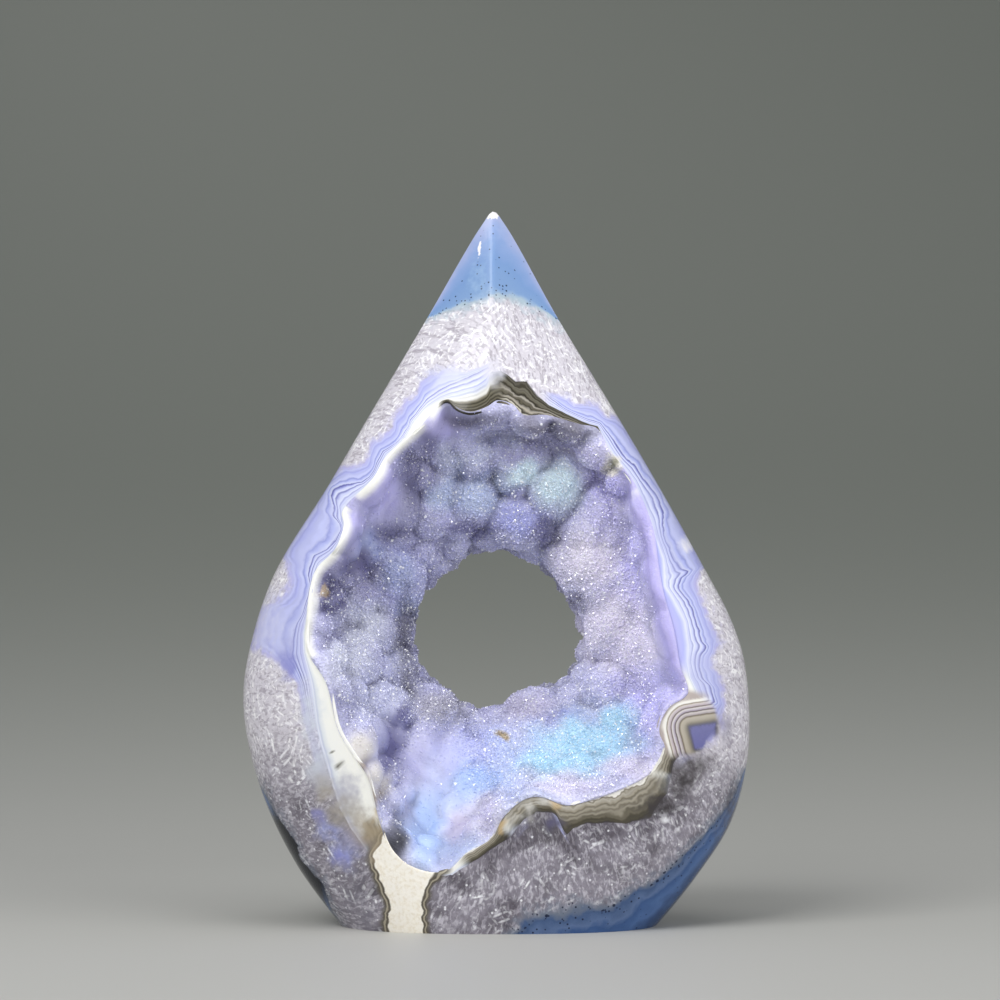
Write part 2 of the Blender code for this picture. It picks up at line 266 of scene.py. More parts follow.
@dataclass
class StoneForm:
    """The driving sizes of the stone and its hollow, and the surfaces that follow from them."""

    eye: Eye = Eye()
    hollow: tuple[float, float] = (-0.5, 39.0)
    outline: Points = (
        (-0.4, 95.0), (1.15, 93.2), (8.2, 80.5), (14.6, 69.8), (21.9, 57.1), (27.4, 47.0),
        (30.7, 40.7), (32.6, 35.3), (33.4, 28.0), (33.0, 20.9), (30.8, 13.2), (26.5, 6.6),
        (21.3, 0.3), (17.0, -4.0), (9.0, -8.0), (0.0, -9.5), (-9.0, -8.3), (-16.5, -4.6),
        (-20.9, 0.7), (-26.2, 7.8), (-30.5, 16.3), (-32.9, 24.6), (-33.4, 30.2), (-32.6, 36.0),
        (-29.6, 45.5), (-22.2, 57.9), (-15.8, 69.2), (-9.4, 80.2), (-1.9, 93.2),
    )
    half_thickness: Points = (
        (95.0, 0.0), (80.0, 5.4), (70.0, 8.8), (60.0, 11.5), (50.0, 13.4), (40.0, 14.6),
        (30.0, 15.0), (20.0, 14.8), (10.0, 14.0), (0.0, 12.4), (-5.0, 9.8), (-9.5, 0.0),
    )
    ridge: tuple[float, float] = (84.0, 60.0)
    ridge_power: float = 1.06
    pillow_power: float = 2.3
    rim: Points = (
        (-6.7, 69.1), (-5.2, 67.7), (-3.3, 67.1), (-1.1, 67.9), (0.1, 68.7), (2.1, 68.2),
        (3.6, 66.7), (6.5, 66.7), (11.0, 65.5), (13.3, 65.0), (15.0, 61.9), (18.0, 57.9),
        (20.5, 51.7), (21.1, 47.1), (21.8, 43.1), (23.1, 38.4), (23.9, 33.8), (25.0, 30.2),
        (22.5, 28.5), (21.4, 26.9), (21.1, 25.2), (21.9, 23.0), (20.3, 20.1), (16.3, 17.9), (11.0, 16.1),
        (9.0, 15.8), (5.5, 17.0), (3.5, 16.6), (0.9, 14.3), (-0.9, 11.0), (-3.9, 9.3),
        (-6.3, 7.0), (-9.7, 6.9), (-13.4, 9.3), (-15.1, 13.7), (-16.6, 19.4), (-18.7, 22.5),
        (-20.5, 25.5), (-22.0, 31.5), (-24.6, 35.8), (-24.7, 40.0), (-23.7, 46.0),
        (-20.8, 49.2), (-19.9, 52.2), (-20.2, 53.9), (-16.1, 58.3), (-14.6, 61.0),
        (-9.5, 65.8),
    )
    hole: Points = (
        (-0.2, 49.5), (3.1, 48.9), (6.9, 47.1), (8.2, 44.4), (11.0, 41.0), (11.4, 39.1),
        (10.7, 34.1), (7.3, 31.4), (4.3, 31.1), (1.4, 29.9), (-0.9, 28.5), (-3.1, 28.6),
        (-4.5, 29.8), (-6.9, 31.4), (-9.4, 31.8), (-10.7, 36.5), (-11.3, 38.9),
        (-11.0, 41.5), (-8.9, 45.0), (-4.6, 48.6), (-2.7, 50.1),
    )
    hole_depth: float = 8.0
    wall_profile: Points = (
        (1.00, 0.00), (1.03, 0.14), (0.95, 0.31), (0.74, 0.45), (0.46, 0.55),
        (0.19, 0.64), (0.03, 0.74), (0.00, 0.86), (0.12, 1.00),
    )
    neck_in_profile: int = 7
    teeth_fade: float = 0.25
    evening_spread: float = math.radians(14.0)
    neck_build_up: float = 2.9

    def __post_init__(self) -> None:
        """Work out the curves that the surfaces are read from."""
        self.outline_loop = smooth_curve(self.outline, closed=True)
        self.thickness_curve = smooth_curve(self.half_thickness, closed=False)[::-1]
        self.profile_curve = smooth_curve(self.wall_profile, closed=False)
        tip = int(np.argmax(self.outline_loop[:, 1]))
        loop = np.roll(self.outline_loop, -tip, axis=0)
        foot = int(np.argmin(loop[:, 1]))
        self.right_side = loop[: foot + 1][::-1]
        self.left_side = np.vstack([loop[foot:], loop[:1]])
        self.outline_radius = self.by_angle(self.outline_loop)
        self.drawn_rim_radius = self.by_angle(smooth_curve(self.rim, closed=True))
        self.drawn_hole_radius = self.by_angle(smooth_curve(self.hole, closed=True))
        self.rim_radius = self.on_face(smooth_curve(self.rim, closed=True))
        self.even_rim_radius = self.evened(self.rim_radius)
        hole = smooth_curve(self.hole, closed=True)
        hole = self.eye.true_place(hole, np.full(len(hole), self.hole_depth))
        self.hole_radius = self.evened(self.by_angle(hole))

    def by_angle(self, loop: np.ndarray) -> ByAngle:
        """Give a loop's distance from the hollow's middle at any angle."""
        side, height = loop[:, 0] - self.hollow[0], loop[:, 1] - self.hollow[1]
        angles, radii = np.arctan2(height, side), np.hypot(side, height)
        return lambda angle: np.interp(angle, angles, radii, period=2.0 * math.pi)

    def on_face(self, drawn: np.ndarray) -> ByAngle:
        """Give the true radius by angle of a line that is drawn on the polished front."""
        place = drawn
        for _ in range(3):
            place = self.eye.true_place(drawn, -self.face_depth(place[:, 0], place[:, 1]))
        return self.by_angle(place)

    def evened(self, radius_at: ByAngle) -> ByAngle:
        """Average a loop's radius over the angles on both sides."""
        angles = np.linspace(-math.pi, math.pi, 721)[:-1]
        offsets = np.linspace(-self.evening_spread, self.evening_spread, 21)
        radii = radius_at(angles[:, None] + offsets).mean(axis=1)
        return lambda angle: np.interp(angle, angles, radii, period=2.0 * math.pi)

    def face_depth(self, side: np.ndarray, height: np.ndarray) -> np.ndarray:
        """Work out how far the polished face stands out from the middle plane.

        Across the stone, depth = half thickness * (1 - share ^ power) ^ (1 / power), where
        share runs from 0 in the middle to 1 at the edge. A power near 1 makes the tip's ridge.

        Args:
            side: Places across the stone.
            height: Their heights.

        Returns:
            The depths, in millimetres.
        """
        left = np.interp(height, self.left_side[:, 1], self.left_side[:, 0])
        right = np.interp(height, self.right_side[:, 1], self.right_side[:, 0])
        half = np.maximum(0.5 * (right - left), 0.01)
        share = np.clip(np.abs(side - 0.5 * (left + right)) / half, 0.0, 1.0)
        roundness = 1.0 - smooth_step(self.ridge[1], self.ridge[0], height)
        power = self.ridge_power + (self.pillow_power - self.ridge_power) * roundness
        thickness = np.interp(height, self.thickness_curve[:, 0], self.thickness_curve[:, 1])
        return thickness * (1.0 - share ** power) ** (1.0 / power)

    def on_ray(self, angle: np.ndarray, radius: np.ndarray) -> tuple[np.ndarray, np.ndarray]:
        """Give side and height at a distance from the hollow's middle."""
        return self.hollow[0] + radius * np.cos(angle), self.hollow[1] + radius * np.sin(angle)

    def in_space(self, angle: np.ndarray, radius: np.ndarray, depth: np.ndarray) -> np.ndarray:
        """Give places in space from their rays, radii and depths."""
        side, height = self.on_ray(angle, radius)
        return np.stack(np.broadcast_arrays(side, depth, height), axis=-1)

    def neck_radius(self, angle: np.ndarray) -> np.ndarray:
        """Give the stone's own radius at the neck, behind the druse."""
        return self.hole_radius(angle) + self.neck_build_up

    def back_rim_radius(self, angle: np.ndarray) -> np.ndarray:
        """Give the distance of the hollow's rim on the back face."""
        neck = self.neck_radius(angle)
        return neck + self.wall_profile[-1][0] * (self.even_rim_radius(angle) - neck)

    def wall_place(self, angle: np.ndarray, station: np.ndarray, inset: np.ndarray) -> np.ndarray:
        """Work out places on the hollow's wall.

        The profile's shares are read from the neck out to the rim, and from the front face to
        the back face. The inset is square to the wall's section, towards the open hollow.

        Args:
            angle: The rays' angles, as a column.
            station: Shares of the way along the profile, as a row.
            inset: How far in from the wall each station lies.

        Returns:
            Places in space, one row a ray.
        """
        neck = self.neck_radius(angle)
        front = -self.face_depth(*self.on_ray(angle, self.rim_radius(angle)))
        back = self.face_depth(*self.on_ray(angle, self.back_rim_radius(angle)))
        stations = np.linspace(0.0, 1.0, len(self.profile_curve))
        even, sharp = self.even_rim_radius(angle), self.rim_radius(angle)

        def on_profile(share: np.ndarray) -> tuple[np.ndarray, np.ndarray]:
            """Give radius and depth on the bare wall."""
            out = np.interp(share, stations, self.profile_curve[:, 0])
            through = np.interp(share, stations, self.profile_curve[:, 1])
            teeth = np.clip(1.0 - share / self.teeth_fade, 0.0, 1.0) ** 2
            return neck + out * (even + teeth * (sharp - even) - neck), front + through * (back - front)

        small = 0.01
        radius, depth = on_profile(station)
        radius_before, depth_before = on_profile(station - small)
        radius_after, depth_after = on_profile(station + small)
        run = np.hypot(radius_after - radius_before, depth_after - depth_before)
        radius = radius - inset * (depth_after - depth_before) / run
        depth = depth + inset * (radius_after - radius_before) / run
        return self.in_space(angle, radius, depth)


def ray_angles(count: int) -> np.ndarray:
    """Give evenly spread angles as a column, clockwise from the tip."""
    return math.pi / 2.0 - np.arange(count)[:, None] * 2.0 * math.pi / count


def grid_normals(grid: np.ndarray) -> np.ndarray:
    """Give the unit normals of a grid that is closed along its first axis."""
    around = np.roll(grid, -1, axis=0) - np.roll(grid, 1, axis=0)
    normal = np.cross(np.gradient(grid, axis=1), around)
    return normal / np.maximum(np.linalg.norm(normal, axis=-1, keepdims=True), 1e-9)


def ring_faces(rows: int, columns: int) -> np.ndarray:
    """Give the four-sided faces of a grid that is closed both ways."""
    row, column = np.arange(rows)[:, None], np.arange(columns)[None, :]
    next_row, next_column = (row + 1) % rows, (column + 1) % columns
    corners = (row * columns + column, next_row * columns + column)
    corners += (next_row * columns + next_column, row * columns + next_column)
    return np.stack(np.broadcast_arrays(*corners), axis=-1).reshape(-1, 4)


def add_mesh(
    name: str, places: np.ndarray, faces: np.ndarray, fields: dict[str, np.ndarray],
    material: bpy.types.Material, bake_map: Union[np.ndarray, None] = None, sharp: float = 50.0,
) -> bpy.types.Object:
    """Put arrays into a new mesh object.

    Args:
        name: The piece's name.
        places: Vertex places in millimetres.
        faces: Corner indices, one face a row.
        fields: Values or colours a vertex, by attribute name.
        material: The piece's finish.
        bake_map: A place on the texture for each corner of each face.
        sharp: The angle in degrees past which an edge stays sharp.

    Returns:
        The object, at the origin.
    """
    mesh = bpy.data.meshes.new(name)
    corner_count = faces.shape[1]
    mesh.vertices.add(len(places))
    mesh.vertices.foreach_set("co", (places * MM).astype(np.float32).ravel())
    mesh.loops.add(faces.size)
    mesh.loops.foreach_set("vertex_index", faces.astype(np.int32).ravel())
    mesh.polygons.add(len(faces))
    mesh.polygons.foreach_set("loop_start", np.arange(0, faces.size, corner_count, dtype=np.int32))
    for field_name, values in fields.items():
        kind, key = ("FLOAT", "value") if values.ndim == 1 else ("FLOAT_COLOR", "color")
        mesh.attributes.new(field_name, kind, "POINT").data.foreach_set(key, values.astype(np.float32).ravel())
    if bake_map is not None:
        mesh.uv_layers.new(name="OFBake").data.foreach_set("uv", bake_map.astype(np.float32).ravel())
    mesh.update(calc_edges=True)
    mesh.validate()
    mesh.shade_smooth()
    mesh.set_sharp_from_angle(angle=math.radians(sharp))
    mesh.materials.append(material)
    piece = bpy.data.objects.new(name, mesh)
    bpy.context.scene.collection.objects.link(piece)
    return piece


class Wiring:
    """Short calls that place and join the nodes of one node tree."""

    def __init__(self, tree: bpy.types.NodeTree) -> None:
        """Keep the tree that the calls work on."""
        self.tree = tree

    def add(self, kind: str, feeds: dict[Union[str, int], Feed], **settings: object) -> bpy.types.Node:
        """Place a node.

        Args:
            kind: The node's type, without its ShaderNode prefix.
            feeds: What each input gets, by name or number: a socket or a fixed value.
            settings: The node's own settings.

        Returns:
            The node.
        """
        node = self.tree.nodes.new("ShaderNode" + kind)
        for key, value in settings.items():
            setattr(node, key, value)
        for key, feed in feeds.items():
            if isinstance(feed, bpy.types.NodeSocket):
                self.tree.links.new(feed, node.inputs[key])
            elif feed is not None:
                node.inputs[key].default_value = feed
        return node

    def attribute(self, name: str) -> bpy.types.NodeSocket:
        """Read a number from the mesh."""
        return self.add("Attribute", {}, attribute_name=name).outputs["Fac"]

    def colour_attribute(self, name: str) -> bpy.types.NodeSocket:
        """Read a colour from the mesh."""
        return self.add("Attribute", {}, attribute_name=name).outputs["Color"]

    def cover(self, name: str) -> bpy.types.NodeSocket:
        """Read the alpha of a colour on the mesh."""
        return self.add("Attribute", {}, attribute_name=name).outputs["Alpha"]

    def millimetres(self) -> bpy.types.NodeSocket:
        """Give Object coordinates in millimetres."""
        place = self.add("TexCoord", {}).outputs["Object"]
        return self.add("VectorMath", {0: place, "Scale": 1.0 / MM}, operation="SCALE").outputs[0]

    def math(self, operation: str, first: Feed, second: Feed = None, third: Feed = None) -> bpy.types.NodeSocket:
        """Join up to three numbers by an operation."""
        return self.add("Math", {0: first, 1: second, 2: third}, operation=operation).outputs[0]

    def times(self, first: Feed, second: Feed) -> bpy.types.NodeSocket:
        """Multiply two numbers."""
        return self.math("MULTIPLY", first, second)

    def span(self, source: Feed, low: float, high: float, start: float = 0.0, end: float = 1.0) -> bpy.types.NodeSocket:
        """Rise smoothly from start to end as the source goes from low to high."""
        feeds = {"Value": source, "From Min": low, "From Max": high, "To Min": start, "To Max": end}
        return self.add("MapRange", feeds, interpolation_type="SMOOTHSTEP", clamp=True).outputs[0]

    def band(self, source: Feed, centre: float, half: float, soft: float) -> bpy.types.NodeSocket:
        """Give 1 within half of a centre, and fade to 0 over soft."""
        away = self.math("ABSOLUTE", self.math("SUBTRACT", source, centre))
        return self.span(away, half, half + soft, 1.0, 0.0)

    def mix(self, share: Feed, first: Feed, second: Feed, blend: str = "MIX") -> bpy.types.NodeSocket:
        """Mix two colours."""
        feeds = {"Factor": share, 6: first, 7: second}
        return self.add("Mix", feeds, data_type="RGBA", blend_type=blend).outputs[2]

    def blend_numbers(self, share: Feed, first: Feed, second: Feed) -> bpy.types.NodeSocket:
        """Mix two numbers."""
        return self.add("Mix", {0: share, 2: first, 3: second}, data_type="FLOAT").outputs[0]

    def ramp(self, source: Feed, stops: Sequence[tuple[float, str]]) -> bpy.types.NodeSocket:
        """Read a colour from a row of stops between 0 and 1."""
        node = self.add("ValToRGB", {"Fac": source})
        elements = node.color_ramp.elements
        while len(elements) < len(stops):
            elements.new(1.0)
        for element, (position, code) in zip(elements, stops):
            element.position = position
            element.color = linear(code)
        return node.outputs["Color"]

    def noise(self, where: Feed, scale: float, detail: float = 2.0, bend: float = 0.0) -> bpy.types.NodeSocket:
        """Give soft noise between 0 and 1, with a scale per millimetre."""
        feeds = {"Vector": where, "Scale": scale, "Detail": detail, "Distortion": bend}
        return self.add("TexNoise", feeds).outputs["Fac"]

    def cells(self, where: Feed, scale: float, feature: str = "F1") -> bpy.types.Node:
        """Place a Voronoi texture."""
        return self.add("TexVoronoi", {"Vector": where, "Scale": scale}, feature=feature)

    def group(self, tree: bpy.types.NodeTree, feeds: dict[Union[str, int], Feed]) -> bpy.types.Node:
        """Place a node group."""
        node = self.tree.nodes.new("ShaderNodeGroup")
        node.node_tree = tree
        for key, feed in feeds.items():
            if isinstance(feed, bpy.types.NodeSocket):
                self.tree.links.new(feed, node.inputs[key])
            else:
                node.inputs[key].default_value = feed
        return node


def new_material(name: str) -> tuple[bpy.types.Material, Wiring, bpy.types.Node]:
    """Make a material with a bare Principled shader, and the calls to wire it."""
    material = bpy.data.materials.new(name)
    material.use_nodes = True
    return material, Wiring(material.node_tree), material.node_tree.nodes["Principled BSDF"]


def new_group(
    name: str, inputs: dict[str, tuple[str, float]], outputs: dict[str, str],
) -> tuple[bpy.types.NodeTree, Wiring, bpy.types.Node, bpy.types.Node]:
    """Make an empty node group.

    Args:
        name: The group's name.
        inputs: Each input's kind and first value, by name.
        outputs: Each output's kind, by name.

    Returns:
        The group, its wiring, its input node and its output node.
    """
    tree = bpy.data.node_groups.new(name, "ShaderNodeTree")
    for socket_name, (kind, value) in inputs.items():
        socket = tree.interface.new_socket(socket_name, in_out="INPUT", socket_type="NodeSocket" + kind)
        if kind == "Float":
            socket.default_value = value
    for socket_name, kind in outputs.items():
        tree.interface.new_socket(socket_name, in_out="OUTPUT", socket_type="NodeSocket" + kind)
    return tree, Wiring(tree), tree.nodes.new("NodeGroupInput"), tree.nodes.new("NodeGroupOutput")


def sparkle_group() -> bpy.types.NodeTree:
    """Make the glitter that quartz grains give: some grains of a fine Voronoi net light up.

    Its Grain output is a random value a grain, and its Glint output is 1 on the few that shine.
    """
    inputs = {"Place": ("Vector", 0.0), "Grains": ("Float", 3.0), "Rarity": ("Float", 0.9)}
    tree, wiring, given, result = new_group("quartz_sparkle", inputs, {"Grain": "Float", "Glint": "Float"})
    feeds = {"Vector": given.outputs["Place"], "Scale": given.outputs["Grains"]}
    cells = wiring.add("TexVoronoi", feeds)
    grain = wiring.add("SeparateColor", {0: cells.outputs["Color"]})
    chosen = wiring.math("GREATER_THAN", grain.outputs[0], given.outputs["Rarity"])
    core = wiring.span(cells.outputs["Distance"], 0.22, 0.42, 1.0, 0.0)
    tree.links.new(grain.outputs[1], result.inputs["Grain"])
    tree.links.new(wiring.times(chosen, core), result.inputs["Glint"])
    return tree


def mottle_group() -> bpy.types.NodeTree:
    """Make the cloudy variation inside chalcedony: slow and fine noise added together."""
    inputs = {"Place": ("Vector", 0.0), "Scale": ("Float", 0.2), "Amount": ("Float", 0.2)}
    tree, wiring, given, result = new_group("chalcedony_mottle", inputs, {"Shift": "Float"})
    slow = wiring.add(
        "TexNoise", {"Vector": given.outputs["Place"], "Scale": given.outputs["Scale"], "Detail": 4.0}
    ).outputs["Fac"]
    shift = wiring.times(wiring.math("SUBTRACT", slow, 0.5), given.outputs["Amount"])
    tree.links.new(shift, result.inputs["Shift"])
    return tree


@dataclass(frozen=True)
class PolishedAgate:
    """The stone's finish: rim bands, lace, quartz, skin and matrix, all under one polish."""

    rim_white: Sequence[tuple[float, str]] = (
        (0.0, "#eceae6"), (0.15, "#f4f3ec"), (0.60, "#f3f3ee"), (0.78, "#dfe3e8"), (0.86, "#c6cbe0"),
        (0.90, "#e6e8f2"), (1.0, "#cdd3ec"),
    )
    rim_soft: Sequence[tuple[float, str]] = (
        (0.0, "#bdb8e2"), (0.35, "#b7b6ea"), (0.70, "#b1b5ee"), (0.86, "#c5caf6"), (1.0, "#dfe1fa"),
    )
    rim_warm: Sequence[tuple[float, str]] = (
        (0.0, "#7c7667"), (0.05, "#544f43"), (0.10, "#7f7a6c"), (0.15, "#bdb8ad"), (0.20, "#423e32"),
        (0.26, "#918b7e"), (0.32, "#aaa499"), (0.37, "#38342a"), (0.44, "#6f6a5d"), (0.50, "#99948a"),
        (0.56, "#353127"), (0.64, "#5e5a4e"), (0.71, "#767266"), (0.77, "#3d3a2f"), (0.86, "#57534a"),
        (0.94, "#4b483f"), (1.0, "#6f6c6c"),
    )
    rim_tan: Sequence[tuple[float, str]] = (
        (0.0, "#dcd7ce"), (0.08, "#efece6"), (0.15, "#e6e2da"), (0.19, "#756e60"), (0.23, "#b9b3a6"),
        (0.30, "#9a9385"), (0.35, "#777061"), (0.42, "#a29c8e"), (0.50, "#7c7567"), (0.57, "#938d7f"),
        (0.66, "#726c5e"), (0.78, "#575245"), (0.90, "#454137"), (1.0, "#504c53"),
    )
    rim_lobe: Sequence[tuple[float, str]] = (
        (0.0, "#25231d"), (0.06, "#3b382e"), (0.11, "#2a2820"), (0.17, "#666152"), (0.22, "#332f26"),
        (0.28, "#777263"), (0.33, "#3a372c"), (0.40, "#6d6858"), (0.46, "#3e3b30"), (0.53, "#6f6a5b"),
        (0.58, "#8f8a7d"), (0.63, "#d3d1ca"), (0.80, "#dadad9"), (0.90, "#c8cbd9"), (1.0, "#bcc2dc"),
    )
    rim_nose: Sequence[tuple[float, str]] = (
        (0.0, "#b3a7a2"), (0.05, "#ece8e0"), (0.11, "#f1eee8"), (0.15, "#8b7f6c"), (0.19, "#d2c9c6"),
        (0.26, "#b9acb4"), (0.30, "#66594c"), (0.34, "#d8d1d2"), (0.41, "#a79cac"), (0.45, "#554a3f"),
        (0.49, "#cfc7c6"), (0.56, "#a99fa2"), (0.60, "#6b604f"), (0.66, "#b7ae9f"), (0.76, "#aba395"),
        (0.84, "#8c8578"), (0.90, "#6c6868"), (0.95, "#5d5b78"), (1.0, "#6c6ca0"),
    )
    lace: Sequence[tuple[float, str]] = (
        (0.0, "#d8dbf0"), (0.09, "#c9cdea"), (0.13, "#a6aad6"), (0.17, "#dadef4"), (0.23, "#cfd3f0"),
        (0.28, "#a4a8d6"), (0.31, "#7a7cb6"), (0.35, "#dde1f6"), (0.40, "#c2c7ec"), (0.44, "#9699d0"),
        (0.475, "#5758a0"), (0.51, "#d6daf4"), (0.55, "#b0b6e4"), (0.58, "#9298d2"), (0.61, "#c4c8ec"),
        (0.68, "#b8bce6"), (0.74, "#a6a9de"), (0.79, "#bcbfe6"), (0.88, "#b3b0de"), (1.0, "#c6c1dc"),
    )
    lace_calm: str = "#b4b7e0"
    quartz_pale: str = "#d5d1d8"
    quartz_mottle: str = "#aba5ae"
    quartz_bright: str = "#f3f1f3"
    quartz_glass: str = "#fbfbfe"
    quartz_dusk: str = "#5d5860"
    quartz_smoke: str = "#938e98"
    quartz_streak: str = "#c6c2cb"
    skin_sky: Sequence[tuple[float, str]] = (
        (0.0, "#a9bcc8"), (0.06, "#93abc9"), (0.14, "#7f9dc6"), (0.45, "#7a99c6"), (0.72, "#88a0cc"),
        (1.0, "#a3acd0"),
    )
    skin_slate: Sequence[tuple[float, str]] = (
        (0.0, "#6d7686"), (0.10, "#465c82"), (0.24, "#5d7298"), (0.34, "#3d5a8a"), (0.55, "#4f6c9c"),
        (0.75, "#38507a"), (1.0, "#2f4468"),
    )
    ink: str = "#141821"
    speck: str = "#141c38"
    bone: str = "#fbf5ea"
    bone_shade: str = "#e9dfcb"
    seam: str = "#5d574a"
    seam_pale: str = "#a59d8a"
    wall: str = "#bdb9da"
    polish: float = 0.10
    ground: float = 0.42

    def needles(
        self, wiring: Wiring, where: Feed, grains: float, half: float, apart: float, rarity: float,
    ) -> bpy.types.NodeSocket:
        """Mask sheaves of straight needles, one sheaf a grain, each turned its own way.

        A grain's random colour gives a direction. The needles lie where the distance from the
        grain's middle along that direction is near a whole multiple of their spacing.

        Args:
            wiring: The material's wiring.
            where: Places in millimetres.
            grains: How many grains there are a millimetre.
            half: Half the width of a needle.
            apart: The space between needles side by side.
            rarity: The share of grains that stay bare.

        Returns:
            1 on the needles.
        """
        cells = wiring.cells(where, grains)
        away = wiring.add("VectorMath", {0: where, 1: cells.outputs["Position"]}, operation="SUBTRACT").outputs[0]
        centred = wiring.add("VectorMath", {0: cells.outputs["Color"], 1: (0.5, 0.5, 0.5)}, operation="SUBTRACT")
        tilt = wiring.add("VectorMath", {0: centred.outputs[0]}, operation="NORMALIZE").outputs[0]
        off = wiring.add("VectorMath", {0: away, 1: tilt}, operation="DOT_PRODUCT").outputs["Value"]
        off = wiring.math("PINGPONG", off, 0.5 * apart)
        line = wiring.span(off, 0.35 * half, half, 1.0, 0.0)
        chosen = wiring.math("GREATER_THAN", wiring.add("SeparateColor", {0: cells.outputs["Color"]}).outputs[2], rarity)
        ends = wiring.span(cells.outputs["Distance"], 0.40, 0.62, 1.0, 0.0)
        return wiring.times(wiring.times(line, chosen), ends)

    def streaks(self, wiring: Wiring, where: Feed) -> bpy.types.NodeSocket:
        """Give noise that is drawn out along the rays from the hollow's middle."""
        parts = wiring.add("SeparateXYZ", {0: where})
        side = wiring.math("ADD", parts.outputs[0], 0.5)
        height = wiring.math("SUBTRACT", parts.outputs[2], 39.0)
        flat = wiring.add("CombineXYZ", {0: side, 2: height}).outputs[0]
        length = wiring.add("VectorMath", {0: flat}, operation="LENGTH").outputs["Value"]
        way = wiring.add("VectorMath", {0: flat}, operation="NORMALIZE").outputs[0]
        depth = wiring.add("CombineXYZ", {1: wiring.times(length, 0.42), 0: wiring.times(parts.outputs[1], 0.8)}).outputs[0]
        place = wiring.add("VectorMath", {0: way, 1: (32.0, 32.0, 32.0), 2: depth}, operation="MULTIPLY_ADD").outputs[0]
        return wiring.noise(place, 2.5, 3.0, 0.6)

    def quartz(self, wiring: Wiring, where: Feed, layer: Feed, sparkle: bpy.types.Node) -> bpy.types.NodeSocket:
        """Colour the coarse quartz: pale above, smoky below, with sheaves of white needles."""
        smoke = wiring.attribute("smoke")
        slow = wiring.math("SUBTRACT", wiring.noise(where, 0.28, 4.0), 0.5)
        streak = self.streaks(wiring, where)
        near_lace = wiring.span(layer, 2.0, 2.40, 1.0, 0.15)
        dark = wiring.add("Math", {0: near_lace, 1: wiring.times(slow, 4.5)}, operation="ADD", use_clamp=True).outputs[0]
        pale = wiring.mix(wiring.span(streak, 0.38, 0.52), linear(self.quartz_mottle), linear(self.quartz_pale))
        smoky = wiring.mix(dark, linear(self.quartz_smoke), linear(self.quartz_dusk))
        light_streak = wiring.times(wiring.span(streak, 0.47, 0.62), wiring.blend_numbers(dark, 0.9, 0.35))
        smoky = wiring.mix(light_streak, smoky, linear(self.quartz_streak))
        ground = wiring.mix(smoke, pale, smoky)
        fine = wiring.span(wiring.noise(where, 1.9, 4.0), 0.40, 0.66)
        shade = wiring.mix(smoke, linear("#c6c0c8"), linear("#736e78"))
        ground = wiring.mix(wiring.times(fine, 0.5), ground, shade)
        long = self.needles(wiring, where, 0.36, 0.20, 0.95, 0.35)
        medium = self.needles(wiring, where, 0.60, 0.15, 0.65, 0.35)
        short = self.needles(wiring, where, 1.10, 0.12, 0.45, 0.25)
        short = wiring.times(short, wiring.blend_numbers(smoke, 0.8, 0.45))
        medium = wiring.times(medium, wiring.blend_numbers(smoke, 1.0, 0.8))
        white = wiring.math("MAXIMUM", long, wiring.math("MAXIMUM", medium, short))
        broken = wiring.span(wiring.noise(where, 1.6, 3.0), 0.38, 0.56)
        clumps = wiring.span(wiring.noise(where, 0.30, 2.0), 0.40, 0.62, 0.10, 1.0)
        white = wiring.times(white, wiring.times(broken, wiring.blend_numbers(smoke, 1.0, clumps)))
        white = wiring.times(white, wiring.math("SUBTRACT", 1.0, wiring.times(wiring.times(smoke, dark), 0.7)))
        bright = wiring.mix(smoke, linear(self.quartz_bright), linear(self.quartz_glass))
        colour = wiring.mix(white, ground, bright)
        return wiring.mix(wiring.times(sparkle.outputs["Glint"], 0.7), colour, bright)

    def skin(self, wiring: Wiring, where: Feed, layer: Feed) -> bpy.types.NodeSocket:
        """Colour the blue skin: paler outwards, slate below, with dark specks where it starts."""
        drift = wiring.times(wiring.math("SUBTRACT", wiring.noise(where, 0.45, 3.0), 0.5), 0.35)
        depth = wiring.math("ADD", wiring.math("SUBTRACT", layer, 3.0), drift)
        sky = wiring.ramp(depth, self.skin_sky)
        slate = wiring.ramp(depth, self.skin_slate)
        colour = wiring.mix(wiring.attribute("slate"), sky, slate)
        return wiring.mix(wiring.attribute("ink"), colour, linear(self.ink))

    def specks(self, wiring: Wiring, where: Feed, layer: Feed) -> bpy.types.NodeSocket:
        """Mask the dark specks: the cores of some Voronoi cells, most of them at the skin's inner edge."""
        masks = []
        for grains, chosen, reach in ((1.25, 0.55, 0.035), (2.1, 0.70, 0.10), (2.4, 0.90, 0.40)):
            cells = wiring.cells(where, grains)
            picked = wiring.add("SeparateColor", {0: cells.outputs["Color"]}).outputs[0]
            core = wiring.span(cells.outputs["Distance"], 0.20, 0.36, 0.9, 0.0)
            close = wiring.band(layer, 3.0 + reach, reach, 0.4 * reach)
            masks.append(wiring.times(wiring.times(core, close), wiring.math("GREATER_THAN", picked, chosen)))
        return wiring.math("MAXIMUM", masks[0], wiring.math("MAXIMUM", masks[1], masks[2]))

    def lined(
        self, wiring: Wiring, colour: Feed, source: Feed, count: float, where: Feed, strength: float,
    ) -> bpy.types.NodeSocket:
        """Darken and brighten a colour by the sine of a layer number, stronger here and there."""
        wave = wiring.math("SINE", wiring.times(source, 2.0 * math.pi * count))
        swing = wiring.span(wiring.noise(where, 0.35, 2.0), 0.35, 0.65, 0.15 * strength, strength)
        factor = wiring.math("ADD", 1.0, wiring.times(wave, swing))
        return wiring.add("VectorMath", {0: colour, "Scale": factor}, operation="SCALE").outputs[0]

